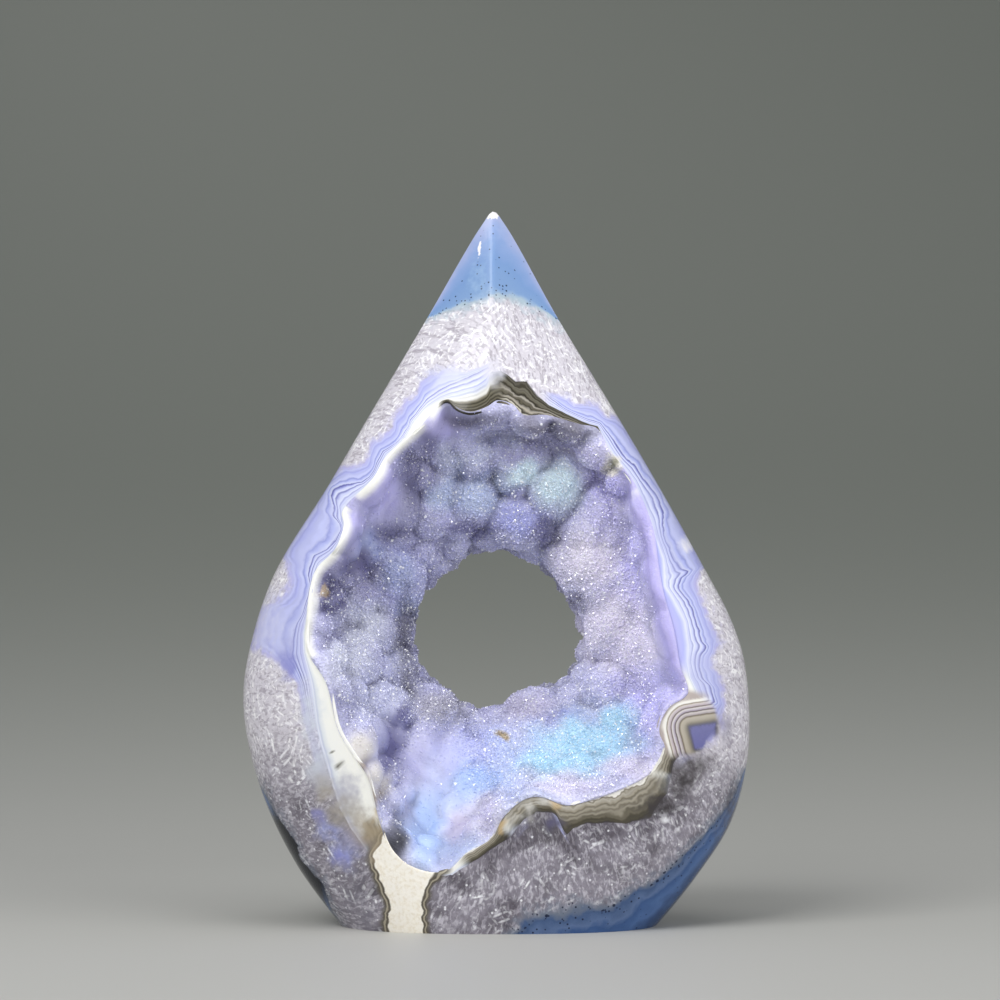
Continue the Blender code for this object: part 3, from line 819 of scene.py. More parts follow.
    def build(self, sparkle: bpy.types.NodeTree, mottle: bpy.types.NodeTree) -> bpy.types.Material:
        """Wire the whole finish.

        Args:
            sparkle: The shared glitter group.
            mottle: The shared cloudiness group.

        Returns:
            The material.
        """
        material, wiring, shader = new_material("polished_agate")
        where = wiring.millimetres()
        raw = wiring.attribute("layer")
        slow = wiring.group(mottle, {"Place": where, "Scale": 0.22, "Amount": 0.16}).outputs[0]
        fast = wiring.group(mottle, {"Place": where, "Scale": 1.1, "Amount": 0.045}).outputs[0]
        layer = wiring.math("ADD", raw, wiring.math("ADD", slow, fast))
        glitter = wiring.group(sparkle, {"Place": where, "Grains": 2.2, "Rarity": 0.92})
        wobble = wiring.times(wiring.math("SUBTRACT", wiring.noise(where, 0.55, 2.0), 0.5), 0.35)
        rim_layer = wiring.math("ADD", raw, wiring.times(fast, 1.6))
        bent = wiring.math("ADD", rim_layer, wobble)
        warm = self.lined(wiring, wiring.ramp(bent, self.rim_warm), bent, 8.3, where, 0.30)
        lobe = self.lined(wiring, wiring.ramp(rim_layer, self.rim_lobe), rim_layer, 6.1, where, 0.15)
        rim = wiring.mix(wiring.attribute("lip"), wiring.ramp(rim_layer, self.rim_white), wiring.ramp(rim_layer, self.rim_soft))
        tan = self.lined(wiring, wiring.ramp(bent, self.rim_tan), bent, 7.1, where, 0.22)
        rim = wiring.mix(wiring.attribute("warm"), rim, warm)
        rim = wiring.mix(wiring.attribute("tan"), rim, tan)
        rim = wiring.mix(wiring.attribute("lobe"), rim, lobe)
        lace = wiring.ramp(wiring.math("SUBTRACT", layer, 1.0), self.lace)
        calm = wiring.span(wiring.noise(where, 0.16, 2.0), 0.46, 0.66, 0.0, 0.5)
        lace = wiring.mix(calm, lace, linear(self.lace_calm))
        lace = self.lined(wiring, lace, layer, 13.0, where, 0.06)
        quartz = self.quartz(wiring, where, layer, glitter)
        lace = wiring.mix(wiring.attribute("laced"), quartz, lace)
        colour = wiring.mix(wiring.span(rim_layer, 0.95, 1.03), rim, lace)
        around = wiring.math("ADD", wiring.attribute("around_nose"), wiring.times(fast, 0.9))
        colour = wiring.mix(wiring.attribute("nose"), colour, wiring.ramp(around, self.rim_nose))
        tatter = wiring.times(wiring.math("SUBTRACT", wiring.noise(where, 1.0, 4.0), 0.5), 0.5)
        is_quartz = wiring.span(wiring.math("ADD", layer, tatter), 1.80, 2.08)
        colour = wiring.mix(is_quartz, colour, quartz)
        veil = wiring.span(wiring.math("ADD", layer, tatter), 2.80, 3.02, 0.0, 0.6)
        veil_colour = wiring.mix(wiring.attribute("slate"), linear("#9fb4c0"), linear("#6a7484"))
        colour = wiring.mix(veil, colour, veil_colour)
        ragged = wiring.math("ADD", layer, wiring.times(tatter, 0.3))
        colour = wiring.mix(wiring.span(ragged, 2.95, 3.05), colour, self.skin(wiring, where, layer))
        colour = wiring.mix(self.specks(wiring, where, layer), colour, linear(self.speck))
        matrix_edge = wiring.math("ADD", wiring.attribute("matrix_edge"), wiring.times(fast, 5.0))
        weave = wiring.span(wiring.noise(where, 2.2, 4.0), 0.42, 0.72, 0.0, 0.7)
        bone = wiring.mix(weave, linear(self.bone), linear(self.bone_shade))
        seam = wiring.mix(wiring.band(matrix_edge, 0.42, 0.05, 0.12), linear(self.seam), linear(self.seam_pale))
        colour = wiring.mix(wiring.span(matrix_edge, 0.5, 1.3, 0.95, 0.0), colour, seam)
        uneven = wiring.times(wiring.math("SUBTRACT", wiring.noise(where, 1.1, 4.0), 0.5), 0.7)
        # Stains laid over the colour; one of them is a painted reflection on the tip's left facet, near the ridge.
        cover = wiring.span(wiring.math("ADD", wiring.cover("stain_and_sheen"), uneven), 0.15, 1.05)
        cover = wiring.times(cover, wiring.span(wiring.cover("stain_and_sheen"), 0.0, 0.25))
        colour = wiring.mix(cover, colour, wiring.colour_attribute("stain_and_sheen"))
        is_bone = wiring.span(matrix_edge, -0.08, 0.10, 1.0, 0.0)
        colour = wiring.mix(is_bone, colour, bone)
        rough_chip = wiring.times(wiring.math("SUBTRACT", wiring.noise(where, 2.2, 3.0), 0.5), 1.3)
        chip = wiring.span(wiring.math("ADD", wiring.attribute("chip"), rough_chip), 0.40, 0.62)
        colour = wiring.mix(chip, colour, linear("#e9e6ea"))
        colour = wiring.mix(wiring.attribute("pit"), colour, linear("#6c6a60"))
        colour = wiring.mix(wiring.attribute("inner_wall"), colour, linear(self.wall))
        wiring.tree.links.new(colour, shader.inputs["Base Color"])
        dull = wiring.math("MAXIMUM", wiring.attribute("inner_wall"), wiring.math("MAXIMUM", chip, wiring.attribute("ground")))
        dull = wiring.math("MAXIMUM", dull, wiring.times(is_bone, 0.5))
        smears = wiring.span(wiring.noise(where, 0.5, 4.0), 0.3, 0.8, -0.02, 0.05)
        rough = wiring.math("ADD", wiring.blend_numbers(dull, self.polish, self.ground), smears)
        wiring.tree.links.new(rough, shader.inputs["Roughness"])
        grain = wiring.times(wiring.noise(where, 3.0, 3.0), wiring.math("ADD", wiring.times(is_quartz, 0.7), 0.3))
        relief = wiring.math("SUBTRACT", grain, wiring.times(wiring.attribute("pit"), 4.0))
        relief = wiring.math("ADD", relief, wiring.times(chip, wiring.noise(where, 1.6, 4.0)))
        bump = wiring.add("Bump", {"Height": relief, "Strength": 0.10, "Distance": 0.0004})
        wiring.tree.links.new(bump.outputs[0], shader.inputs["Normal"])
        shader.inputs["Subsurface Weight"].default_value = 0.25
        shader.inputs["Subsurface Radius"].default_value = (0.8, 0.8, 1.0)
        shader.inputs["Subsurface Scale"].default_value = 0.0006
        shader.inputs["IOR"].default_value = 1.54
        shader.inputs["Specular IOR Level"].default_value = 0.2
        shader.inputs["Coat Weight"].default_value = 0.04
        shader.inputs["Coat Roughness"].default_value = 0.04
        return material


@dataclass(frozen=True)
class Druse:
    """The finish of the hollow's lining, or of the crystals on it."""

    name: str = "lavender_druse"
    # The colour of the painted shade in the crust's creases.
    crease_shade: str = "#45426a"
    glint: str = "#ffffff"
    roughness: float = 0.42
    glint_roughness: float = 0.08
    grains: float = 3.4
    rarity: float = 0.93
    relief: float = 0.55
    whiten: float = 0.0
    glow: float = 0.25
    bend: float = 1.54
    dot_grids: Sequence[tuple[float, float, float]] = ((1.25, 0.14, 0.80), (2.3, 0.13, 0.84), (0.8, 0.17, 0.88))

    def dots(self, wiring: Wiring, where: Feed, strength: Feed) -> bpy.types.NodeSocket:
        """Mask small bright dots, the flashes of single crystal faces."""
        mask = 0.0
        for grains, radius, rarity in self.dot_grids:
            cells = wiring.cells(where, grains)
            near = wiring.span(cells.outputs["Distance"], 0.6 * radius, radius, 1.0, 0.0)
            chance = wiring.add("SeparateColor", {0: cells.outputs["Color"]}).outputs[0]
            near = wiring.times(near, wiring.math("GREATER_THAN", chance, rarity))
            mask = wiring.math("MAXIMUM", near, mask)
        return wiring.times(mask, strength)

    def build(self, sparkle: bpy.types.NodeTree, mottle: bpy.types.NodeTree) -> bpy.types.Material:
        """Wire the finish.

        Args:
            sparkle: The shared glitter group.
            mottle: The shared cloudiness group.

        Returns:
            The material.
        """
        material, wiring, shader = new_material(self.name)
        where = wiring.millimetres()
        glitter = wiring.group(sparkle, {"Place": where, "Grains": self.grains, "Rarity": self.rarity})
        cloud = wiring.group(mottle, {"Place": where, "Scale": 0.45, "Amount": 0.7}).outputs[0]
        colour = wiring.colour_attribute("tint")
        fine = wiring.math("SUBTRACT", glitter.outputs["Grain"], 0.5)
        rough_side = wiring.attribute("sugar")
        swing = wiring.math("ADD", cloud, wiring.times(wiring.times(fine, rough_side), 0.55))
        light = wiring.math("ADD", 1.0 + self.whiten, wiring.times(swing, 0.55))
        bright = wiring.add("VectorMath", {0: colour, "Scale": light}, operation="SCALE").outputs[0]
        # Painted shade: valleys, and places lower than their neighbours, darken towards the crease shade colour.
        hollow = wiring.times(wiring.attribute("crease_shade"), 0.55)
        colour = wiring.mix(hollow, bright, linear(self.crease_shade))
        shine = wiring.times(glitter.outputs["Glint"], rough_side)
        shine = wiring.math("MAXIMUM", shine, wiring.attribute("spark"))
        shine = wiring.math("MAXIMUM", shine, self.dots(wiring, where, rough_side))
        colour = wiring.mix(wiring.times(shine, 0.85), colour, linear(self.glint))
        wiring.tree.links.new(colour, shader.inputs["Base Color"])
        rough = wiring.blend_numbers(shine, self.roughness, self.glint_roughness)
        wiring.tree.links.new(rough, shader.inputs["Roughness"])
        facets = wiring.cells(where, self.grains)
        height = wiring.times(facets.outputs["Distance"], wiring.blend_numbers(rough_side, 0.15, 1.0))
        bump = wiring.add("Bump", {"Height": height, "Strength": self.relief, "Distance": 0.00022})
        wiring.tree.links.new(bump.outputs[0], shader.inputs["Normal"])
        shader.inputs["Subsurface Weight"].default_value = self.glow
        shader.inputs["Subsurface Radius"].default_value = (0.8, 0.75, 1.0)
        shader.inputs["Subsurface Scale"].default_value = 0.0008
        shader.inputs["IOR"].default_value = self.bend
        return material


@dataclass
class AgateStone:
    """The polished stone: two pillow faces, a flat base, and the wall of the hollow.

    The grid's rays run out from the hollow's middle. On each face its columns follow the
    layers of the agate, so that every band is as sharp as the grid is fine.
    """

    form: StoneForm
    rays: int = 720
    band_steps: tuple[int, ...] = (7, 7, 8, 11, 5, 11, 6)
    arc_steps: int = 5
    wall_steps: int = 16
    edge_zone: float = 3.0
    thin: float = 0.06
    rim_round: float = 0.32
    soft_round: float = 1.1
    soft_places: Spots = ((23.0, 42.0, 5.0, 16.0), (14.0, 17.0, 12.0, 4.0))
    band_edge: Points = (
        (-0.9, 73.2), (0.6, 73.5), (1.5, 72.9), (2.6, 71.8), (4.1, 72.2), (5.5, 70.0), (7.0, 68.6),
        (9.4, 67.4), (11.0, 66.6), (12.4, 66.0), (13.6, 65.7), (15.2, 62.8), (17.0, 60.2), (18.5, 58.2),
        (19.8, 54.8), (20.8, 52.8), (21.3, 51.1), (22.3, 47.9), (22.5, 44.2), (23.7, 42.2),
        (25.1, 39.5), (25.5, 36.3), (25.4, 34.3), (25.8, 32.1), (26.7, 30.2), (26.3, 28.2), (25.6, 25.5),
        (25.0, 23.0), (23.4, 20.6), (22.7, 16.7), (20.5, 13.7), (17.4, 12.6), (14.5, 12.9),
        (11.9, 12.9), (10.2, 12.3), (9.4, 10.9), (8.1, 13.7), (7.5, 14.3), (5.3, 14.3),
        (3.7, 13.5), (1.8, 11.0), (0.5, 10.3), (-2.5, 8.2), (-5.8, 6.2), (-9.9, 5.9),
        (-14.3, 8.2), (-17.2, 9.2), (-19.6, 12.0), (-20.8, 14.5), (-21.8, 17.3), (-22.6, 20.5),
        (-23.4, 23.5), (-23.9, 25.7), (-24.6, 31.2), (-25.6, 35.4), (-25.7, 38.0), (-25.3, 40.0),
        (-24.5, 42.8), (-24.4, 44.4), (-23.9, 46.2), (-23.5, 47.3), (-22.7, 47.8), (-21.4, 49.1),
        (-20.3, 51.5), (-20.3, 53.3), (-20.6, 54.6), (-17.2, 57.9), (-16.3, 58.8), (-15.4, 60.4),
        (-14.7, 61.9), (-13.3, 63.0), (-12.0, 64.4), (-11.0, 66.3), (-9.5, 68.0), (-7.5, 69.3),
        (-5.4, 69.9), (-2.6, 70.7), (-1.2, 71.6),
    )
    line_edge: Points = (
        (-1.0, 73.8), (0.7, 73.8), (4.3, 72.3), (7.5, 69.3), (9.4, 68.0), (10.9, 67.3), (12.5, 66.6),
        (14.0, 66.2), (15.2, 64.6), (16.9, 61.9), (18.6, 60.2), (19.6, 58.8), (20.6, 57.6), (22.0, 55.6),
        (22.3, 54.2), (22.3, 52.2), (22.4, 51.1), (23.1, 49.0), (24.2, 47.0), (24.7, 46.5), (25.6, 46.2),
        (25.2, 45.7), (24.7, 45.3), (24.4, 44.4), (24.6, 43.5), (25.3, 42.5), (26.1, 41.4), (26.6, 39.9),
        (26.8, 39.0), (27.0, 38.0), (27.4, 36.9), (28.1, 36.2), (27.4, 35.3), (27.0, 34.3), (27.0, 33.1),
        (27.5, 31.9), (28.6, 30.9), (29.1, 28.8), (27.4, 27.8), (26.0, 25.5), (25.2, 22.8), (23.6, 20.4),
        (22.9, 16.5), (20.6, 13.5), (17.4, 12.4), (14.5, 12.7), (10.1, 12.0), (9.4, 10.7),
        (7.9, 13.4), (5.4, 14.0), (2.0, 10.7), (-2.4, 8.0), (-9.9, 5.7), (-17.4, 9.0),
        (-21.2, 14.3), (-23.0, 20.5), (-24.5, 25.7), (-25.6, 31.3), (-27.1, 35.0), (-27.0, 37.0),
        (-26.5, 39.3), (-25.7, 40.8), (-25.1, 42.8), (-24.8, 44.4), (-25.0, 45.5), (-24.9, 46.9),
        (-24.4, 48.4), (-22.7, 49.1), (-21.4, 50.3), (-20.7, 51.8), (-20.9, 52.6), (-21.8, 53.7),
        (-21.7, 55.0), (-22.1, 56.3), (-21.5, 57.2), (-20.3, 57.9), (-18.0, 58.2), (-17.0, 58.9),
        (-16.4, 59.8), (-16.1, 60.7), (-15.7, 61.4), (-15.2, 62.4), (-14.2, 63.0), (-13.3, 63.6),
        (-12.4, 64.7), (-11.8, 65.7), (-11.6, 66.5), (-10.8, 67.4), (-9.4, 69.3), (-7.0, 71.0), (-4.0, 72.4),
    )
    lace_edge: Points = (
        (-0.9, 74.2), (0.7, 74.2), (2.6, 72.6), (4.1, 72.8), (4.9, 71.5), (6.5, 70.6), (8.5, 70.1),
        (9.7, 70.0), (10.7, 69.0), (12.5, 69.3), (13.9, 69.0), (14.6, 67.4), (18.5, 67.0), (24.0, 58.5),
        (28.5, 51.0), (29.5, 47.4), (27.6, 46.4), (27.0, 45.0), (27.4, 43.1), (27.9, 41.8), (28.5, 40.7),
        (29.1, 39.0), (29.6, 37.7), (30.4, 36.9), (29.6, 36.2), (29.1, 34.7), (29.1, 33.2),
        (30.4, 32.2), (30.7, 30.9), (30.5, 29.1), (30.7, 27.6), (30.3, 25.7), (29.5, 23.8),
        (26.4, 21.8), (24.2, 19.6), (23.3, 16.3), (20.8, 13.1),
        (17.4, 12.0), (14.5, 12.3), (11.7, 12.3), (10.2, 11.6), (9.4, 10.5), (7.8, 13.0),
        (5.5, 13.6), (2.2, 10.3), (0.5, 9.6), (-2.4, 7.6), (-9.9, 5.4), (-14.7, 7.5), (-17.9, 8.6), (-20.9, 12.5),
        (-22.4, 16.5), (-24.2, 20.5), (-25.5, 25.8), (-26.6, 31.3), (-29.0, 34.0), (-33.5, 36.0),
        (-33.0, 41.0), (-30.2, 42.0), (-28.6, 43.6), (-28.0, 45.5), (-28.3, 47.5), (-30.2, 49.0),
        (-28.5, 53.5), (-24.5, 58.0), (-21.5, 60.3), (-19.7, 60.6), (-17.9, 61.1), (-17.4, 62.6),
        (-17.0, 63.8), (-15.4, 64.7), (-14.0, 65.9), (-14.0, 67.5), (-12.8, 68.4), (-12.3, 69.6),
        (-10.8, 70.4), (-10.3, 72.2), (-8.2, 73.8), (-4.1, 73.2),
    )
    quartz_edge: Points = (
        (-0.6, 83.4), (1.8, 83.3), (4.9, 82.2), (8.3, 80.2), (14.0, 78.0), (30.0, 58.0),
        (38.0, 40.0), (37.0, 24.0), (33.0, 20.5), (31.1, 15.9), (27.5, 11.7), (23.8, 8.2),
        (21.3, 5.8), (16.9, 3.5), (14.9, 2.3), (11.0, 2.3), (5.8, 1.1), (3.1, -0.3), (0.0, -3.0),
        (-9.0, -9.5), (-18.5, -3.5), (-21.7, 1.8), (-22.7, 4.9), (-25.9, 8.5), (-26.2, 10.2),
        (-29.1, 14.2), (-31.4, 18.4), (-36.0, 22.0), (-37.5, 34.0), (-33.0, 50.0), (-14.0, 80.0),
        (-9.4, 80.5), (-4.5, 82.2),
    )
    matrix: Points = (
        (-14.6, 11.6), (-16.3, 8.7), (-14.9, 4.8), (-13.9, 2.7), (-14.2, 0.2), (-13.6, -4.0),
        (-9.6, -4.0), (-9.6, 0.0), (-9.8, 2.7), (-8.9, 5.7), (-6.7, 7.3), (-7.2, 12.0),
    )
    warm_places: Spots = ((5.2, 70.2, 6.2, 4.8), (11.2, 66.4, 4.5, 2.4))
    tan_places: Spots = (
        (23.6, 22.0, 3.6, 3.0), (14.5, 14.5, 11.5, 6.0), (4.5, 14.8, 4.5, 2.4), (-1.2, 10.0, 4.0, 3.6),
        (-16.0, 11.4, 1.6, 2.4),
    )
    lobe_places: Spots = ((-3.4, 69.0, 4.2, 3.4),)
    nose_places: Spots = ((25.0, 26.0, 4.3, 4.5),)
    nose_core: Points = ((25.7, 25.5), (28.9, 26.0), (28.6, 23.0), (26.4, 22.8))
    nose_reach: float = 3.7
    lip_places: Spots = ((22.5, 45.5, 5.0, 14.5),)
    ink_places: Spots = ((-27.6, 6.0, 5.5, 9.0),)
    stains_and_sheen: Sequence[Tint] = (
        Tint("#c9ccdf", ((-5.6, 72.5, 4.4, 1.7),), 0.65, 1.0),
        Tint("#dcdae4", ((-0.6, 73.5, 1.4, 1.6),), 0.8, 1.0),
        Tint("#8385c6", ((-27.6, 34.2, 1.1, 2.6),), 0.75, 0.7),
        Tint("#8f8b9c", ((30.4, 25.3, 1.4, 2.6),), 0.65, 1.0),
        Tint("#cfd0e8", ((-30.4, 39.2, 2.6, 4.8),), 0.65, 1.0),
        Tint("#a9afe2", ((-19.9, 9.6, 2.4, 2.2), (-22.2, 12.0, 2.0, 1.4)), 0.65, 1.0),
        Tint("#8486c6", ((-23.3, 13.9, 0.9, 0.8), (-20.6, 8.6, 0.9, 0.8)), 0.7, 1.0),
        Tint("#b5b4c0", ((-19.8, 16.6, 2.3, 3.2), (-23.4, 19.0, 1.6, 2.2)), 0.8, 0.9),
        Tint("#a89980", ((-16.6, 11.8, 2.6, 2.0), (-15.2, 9.4, 1.3, 2.2)), 0.85, 1.0),
        Tint("#a9a08c", ((-20.0, 14.6, 2.6, 1.4), (-22.6, 17.4, 1.2, 1.6)), 0.6, 1.0),
        Tint("#d3d9e2", ((-24.6, 26.8, 1.8, 5.0), (-23.6, 21.4, 1.4, 2.4)), 0.6, 1.0),
        Tint("#7f7c88", ((-19.0, 3.4, 2.0, 2.6), (-17.2, 0.6, 1.8, 1.6)), 0.6, 1.0),
        Tint("#4c4849", ((27.0, 20.6, 2.4, 1.4), (7.0, 12.4, 3.2, 1.6)), 0.65, 1.0),
        Tint("#3f3b3d", ((24.5, 18.4, 2.6, 2.6), (21.4, 15.2, 2.6, 1.4)), 0.85, 0.9),
        Tint("#c9ac7a", ((7.9, 15.7, 0.7, 0.8), (0.6, 12.6, 0.6, 1.1), (-15.7, 15.3, 0.5, 1.3)), 0.8, 0.9),
        Tint("#e6e4df", ((4.4, 14.9, 1.1, 1.5), (6.2, 16.0, 1.6, 0.6), (2.4, 14.0, 1.0, 0.8)), 0.6, 0.9),
        Tint("#63607c", ((7.3, 13.0, 1.2, 1.0),), 0.7, 0.9),
        Tint("#4b4a52", ((31.4, 13.4, 2.2, 5.6),), 0.7, 1.0),
        Tint("#f1eff6", ((25.2, 49.8, 0.8, 1.1),), 0.8, 0.8),
        Tint("#e6e0cf", ((15.6, 60.5, 0.9, 1.2),), 0.9, 0.5),
        # Painted reflection: the pale light-blue wedge left of the tip's ridge, where the light reflects.
        Tint("#a9c3dc", ((-2.4, 85.2, 1.6, 3.4),), 0.45, 1.0),
        Tint("#a5b3d8", ((-0.4, 92.4, 3.0, 2.2),), 0.4, 1.0),
    )
    pits: Spots = ((-20.7, 20.6, 0.34, 0.5), (-21.6, 22.3, 0.2, 0.2), (0.9, 13.7, 0.25, 0.35))
    chip_places: Spots = (
        (-0.4, 95.0, 1.2, 1.0), (-2.35, 90.0, 0.14, 0.7), (-2.0, 89.3, 0.12, 0.5), (15.2, 61.2, 0.5, 0.6),
    )
    zigzags: Sequence[tuple[int, float, float]] = ((43, 0.10, 0.0), (71, 0.07, 1.3), (127, 0.04, 2.9))

    def zigzag(self, angle: np.ndarray) -> np.ndarray:
        """Give the small steps of the lace lines: triangle waves around the hollow, added up."""
        total = np.zeros(angle.shape)
        for count, height, phase in self.zigzags:
            swing = 0.6 + 0.4 * np.sin(3.0 * angle + 5.0 * phase)
            total += height * swing * np.arcsin(np.sin(count * angle + phase)) * 2.0 / math.pi
        return total

    def layer_stops(self, angle: np.ndarray) -> list[np.ndarray]:
        """Give the true radii of the layers' edges on each ray, each a little past the last."""
        form = self.form
        edges = [self.band_edge, self.line_edge, self.lace_edge, self.quartz_edge]
        stops = [form.rim_radius(angle)]
        for edge in edges:
            points = np.array(edge, dtype=float)
            dense = np.linspace(points, np.roll(points, -1, axis=0), 12, endpoint=False, axis=1).reshape(-1, 2)
            stops.append(np.maximum(form.on_face(dense)(angle), stops[-1] + self.thin))
        stops.append(np.maximum(form.outline_radius(angle), stops[-1] + self.thin))
        return stops

    def layer_at(self, angle: np.ndarray, radius: np.ndarray) -> np.ndarray:
        """Number the layers: 0 at the rim, 1 where lace starts, 2 quartz, 3 skin, 4 outline."""
        stops = self.layer_stops(angle)
        shaken = smooth_step(0.0, 1.6, radius - stops[1]) * (1.0 - smooth_step(-0.5, 3.0, radius - stops[3]))
        radius = radius + shaken * self.zigzag(angle)
        layer = np.zeros(radius.shape)
        for inner, outer, step in zip(stops, stops[1:], (1.0, 0.5, 0.5, 1.0, 1.0)):
            layer += step * np.clip((radius - inner) / (outer - inner), 0.0, 1.0)
        return layer

    def around_nose(self, drawn: np.ndarray) -> np.ndarray:
        """Number the bands around the nose's core: 0 on the outermost arc, 1 on the core."""
        return np.clip(1.0 - edge_distance(drawn, np.array(self.nose_core)) / self.nose_reach, 0.0, 1.0)

    def rounding(self, angle: np.ndarray) -> np.ndarray:
        """Give the radius of the rounded front edge of the hollow on each ray."""
        side, height = self.form.on_ray(angle, self.form.rim_radius(angle))
        soft = spot_mask(np.stack([side, height], axis=-1), self.soft_places, 0.5)
        return self.rim_round + (self.soft_round - self.rim_round) * soft

    def face_radii(self, angle: np.ndarray, start: np.ndarray) -> np.ndarray:
        """Give the radii of a face's columns on each ray.

        The columns run in even steps between the layers' edges, then ever closer to the
        outline, as the sine of even steps. The flat base has the last few of them.

        Args:
            angle: The rays' angles, as a column.
            start: Where the face starts on each ray.

        Returns:
            One row of radii a ray.
        """
        outline = self.form.outline_radius(angle)
        base = np.where(np.sin(angle) < -0.05, -self.form.hollow[1] / np.minimum(np.sin(angle), -0.05), 1e3)
        last = np.minimum(base, outline - 0.15)
        share = (start - self.form.rim_radius(angle)) / (outline - self.form.rim_radius(angle))
        limit = last - self.edge_zone
        stops = [start]
        inner = self.layer_stops(angle)[1:5]
        for index, edge in enumerate(inner):
            edge = edge + share * (outline - edge)
            room = limit - (len(inner) - index) * self.thin
            stops.append(np.maximum(np.minimum(edge, room), stops[-1] + self.thin))
        stops += [np.maximum(limit, stops[-1] + self.thin), last, outline]
        pieces = []
        for index, steps in enumerate(self.band_steps):
            way = np.arange(steps) / steps
            if index == 5:
                way = np.sin(way * math.pi / 2.0)
            pieces.append(stops[index] + way * (stops[index + 1] - stops[index]))
        return np.concatenate(pieces + [outline], axis=1)

    def face(self, angle: np.ndarray, radius: np.ndarray, side: Side) -> np.ndarray:
        """Give the places of a polished face, which the flat base cuts off at height 0."""
        places = self.form.in_space(angle, radius, side.value * self.form.face_depth(*self.form.on_ray(angle, radius)))
        if side is Side.FRONT:
            places[:, -1, 1] = 0.0
        places[..., 2] = np.maximum(places[..., 2], 0.0)
        return places

    def arc(self, before: np.ndarray, corner: np.ndarray, after: np.ndarray) -> np.ndarray:
        """Round a corner with a quadratic curve between the places on both sides of it."""
        way = (np.arange(1, self.arc_steps + 1) / (self.arc_steps + 1))[None, :, None]
        return (1 - way) ** 2 * before + 2 * way * (1 - way) * corner + way ** 2 * after

    def sections(self) -> tuple[np.ndarray, np.ndarray, np.ndarray]:
        """Work out the closed section on each ray.

        Returns:
            The places, the radius that each place's layer is read at, and a mask of the wall.
        """
        form, angle = self.form, ray_angles(self.rays)
        rim, back_rim, outline = form.rim_radius(angle), form.back_rim_radius(angle), form.outline_radius(angle)
        rounding = self.rounding(angle)
        front_radius = self.face_radii(angle, rim + rounding)
        back_radius = self.face_radii(angle, back_rim + self.rim_round)[:, -2::-1]
        front = self.face(angle, front_radius, Side.FRONT)
        back = self.face(angle, back_radius, Side.BACK)
        length = 34.0
        begin = (rounding / length + 0.004)
        stations = 0.988 + np.linspace(0.0, 1.0, self.wall_steps) * (begin - 0.988)
        wall = form.wall_place(angle, stations, np.zeros(1))
        front_corner = form.in_space(angle, rim, -form.face_depth(*form.on_ray(angle, rim)))
        back_corner = form.in_space(angle, back_rim, form.face_depth(*form.on_ray(angle, back_rim)))
        back_arc = self.arc(back[:, -1:], back_corner, wall[:, :1])
        front_arc = self.arc(wall[:, -1:], front_corner, front[:, :1])
        share = (back_radius - back_rim) / (outline - back_rim)
        read = np.concatenate([
            front_radius, rim + share * (outline - rim), np.repeat(rim, self.arc_steps + self.wall_steps, axis=1),
            rim + rounding * np.linspace(0.0, 0.8, self.arc_steps)[None, :],
        ], axis=1)
        inner = np.zeros(read.shape)
        first = front_radius.shape[1] + back_radius.shape[1] + self.arc_steps
        inner[:, first:first + self.wall_steps] = smooth_step(1.0, 0.8, np.linspace(0.0, 1.0, self.wall_steps))
        places = np.concatenate([front, back, back_arc, wall, front_arc], axis=1)
        return places, read, inner

    def bake_map(self, places: np.ndarray) -> np.ndarray:
        """Lay the two faces side by side and the wall in a strip below them.

        A face keeps its rays, and its columns stand out from the middle by their length along
        the surface.

        Args:
            places: The grid's places.

        Returns:
            A place on the texture for each corner of each face of the ring.
        """
        rays, columns = places.shape[:2]
        angle = ray_angles(rays)
        run = np.linalg.norm(np.diff(places, axis=1, append=places[:, :1]), axis=-1)
        reach = np.concatenate([np.zeros((rays, 1)), np.cumsum(run, axis=1)], axis=1)
        front_end = sum(self.band_steps)
        back_end = front_end * 2
        corners = np.zeros((rays + 1, columns + 1, 2))
        closed = np.vstack([angle, angle[:1] - 2.0 * math.pi])
        rows = np.arange(rays + 1) % rays
        start = self.form.rim_radius(closed)
        front = start + reach[rows, :front_end + 1]
        centre, scale = np.array([0.25, 0.60]), 1.0 / 172.0
        turn = np.concatenate([np.cos(closed), np.sin(closed)], axis=1)[:, None, :]
        faces = np.zeros((rays, columns, 4, 2))
        corners[:, :front_end + 1] = centre + front[..., None] * turn * scale
        faces[:, :front_end] = self.cell_corners(corners)[:, :front_end]
        whole = reach[rows, back_end:back_end + 1]
        back = self.form.back_rim_radius(closed) + whole - reach[rows, front_end:back_end + 1]
        corners[:, front_end:back_end + 1] = centre + np.array([0.5, 0.0]) + back[..., None] * turn * scale
        faces[:, front_end:back_end] = self.cell_corners(corners)[:, front_end:back_end]
        strip = np.linspace(0.0, 1.0, columns + 1 - back_end)
        corners[:, back_end:, 0] = 0.02 + 0.96 * np.linspace(0.0, 1.0, rays + 1)[:, None]
        corners[:, back_end:, 1] = 0.01 + 0.13 * strip
        faces[:, back_end:] = self.cell_corners(corners)[:, back_end:]
        return faces.reshape(-1, 2)

    @staticmethod
    def cell_corners(corners: np.ndarray) -> np.ndarray:
        """Give the four corners of each cell of a grid, in the order of the ring's faces."""
        return np.stack([corners[:-1, :-1], corners[1:, :-1], corners[1:, 1:], corners[:-1, 1:]], axis=2)

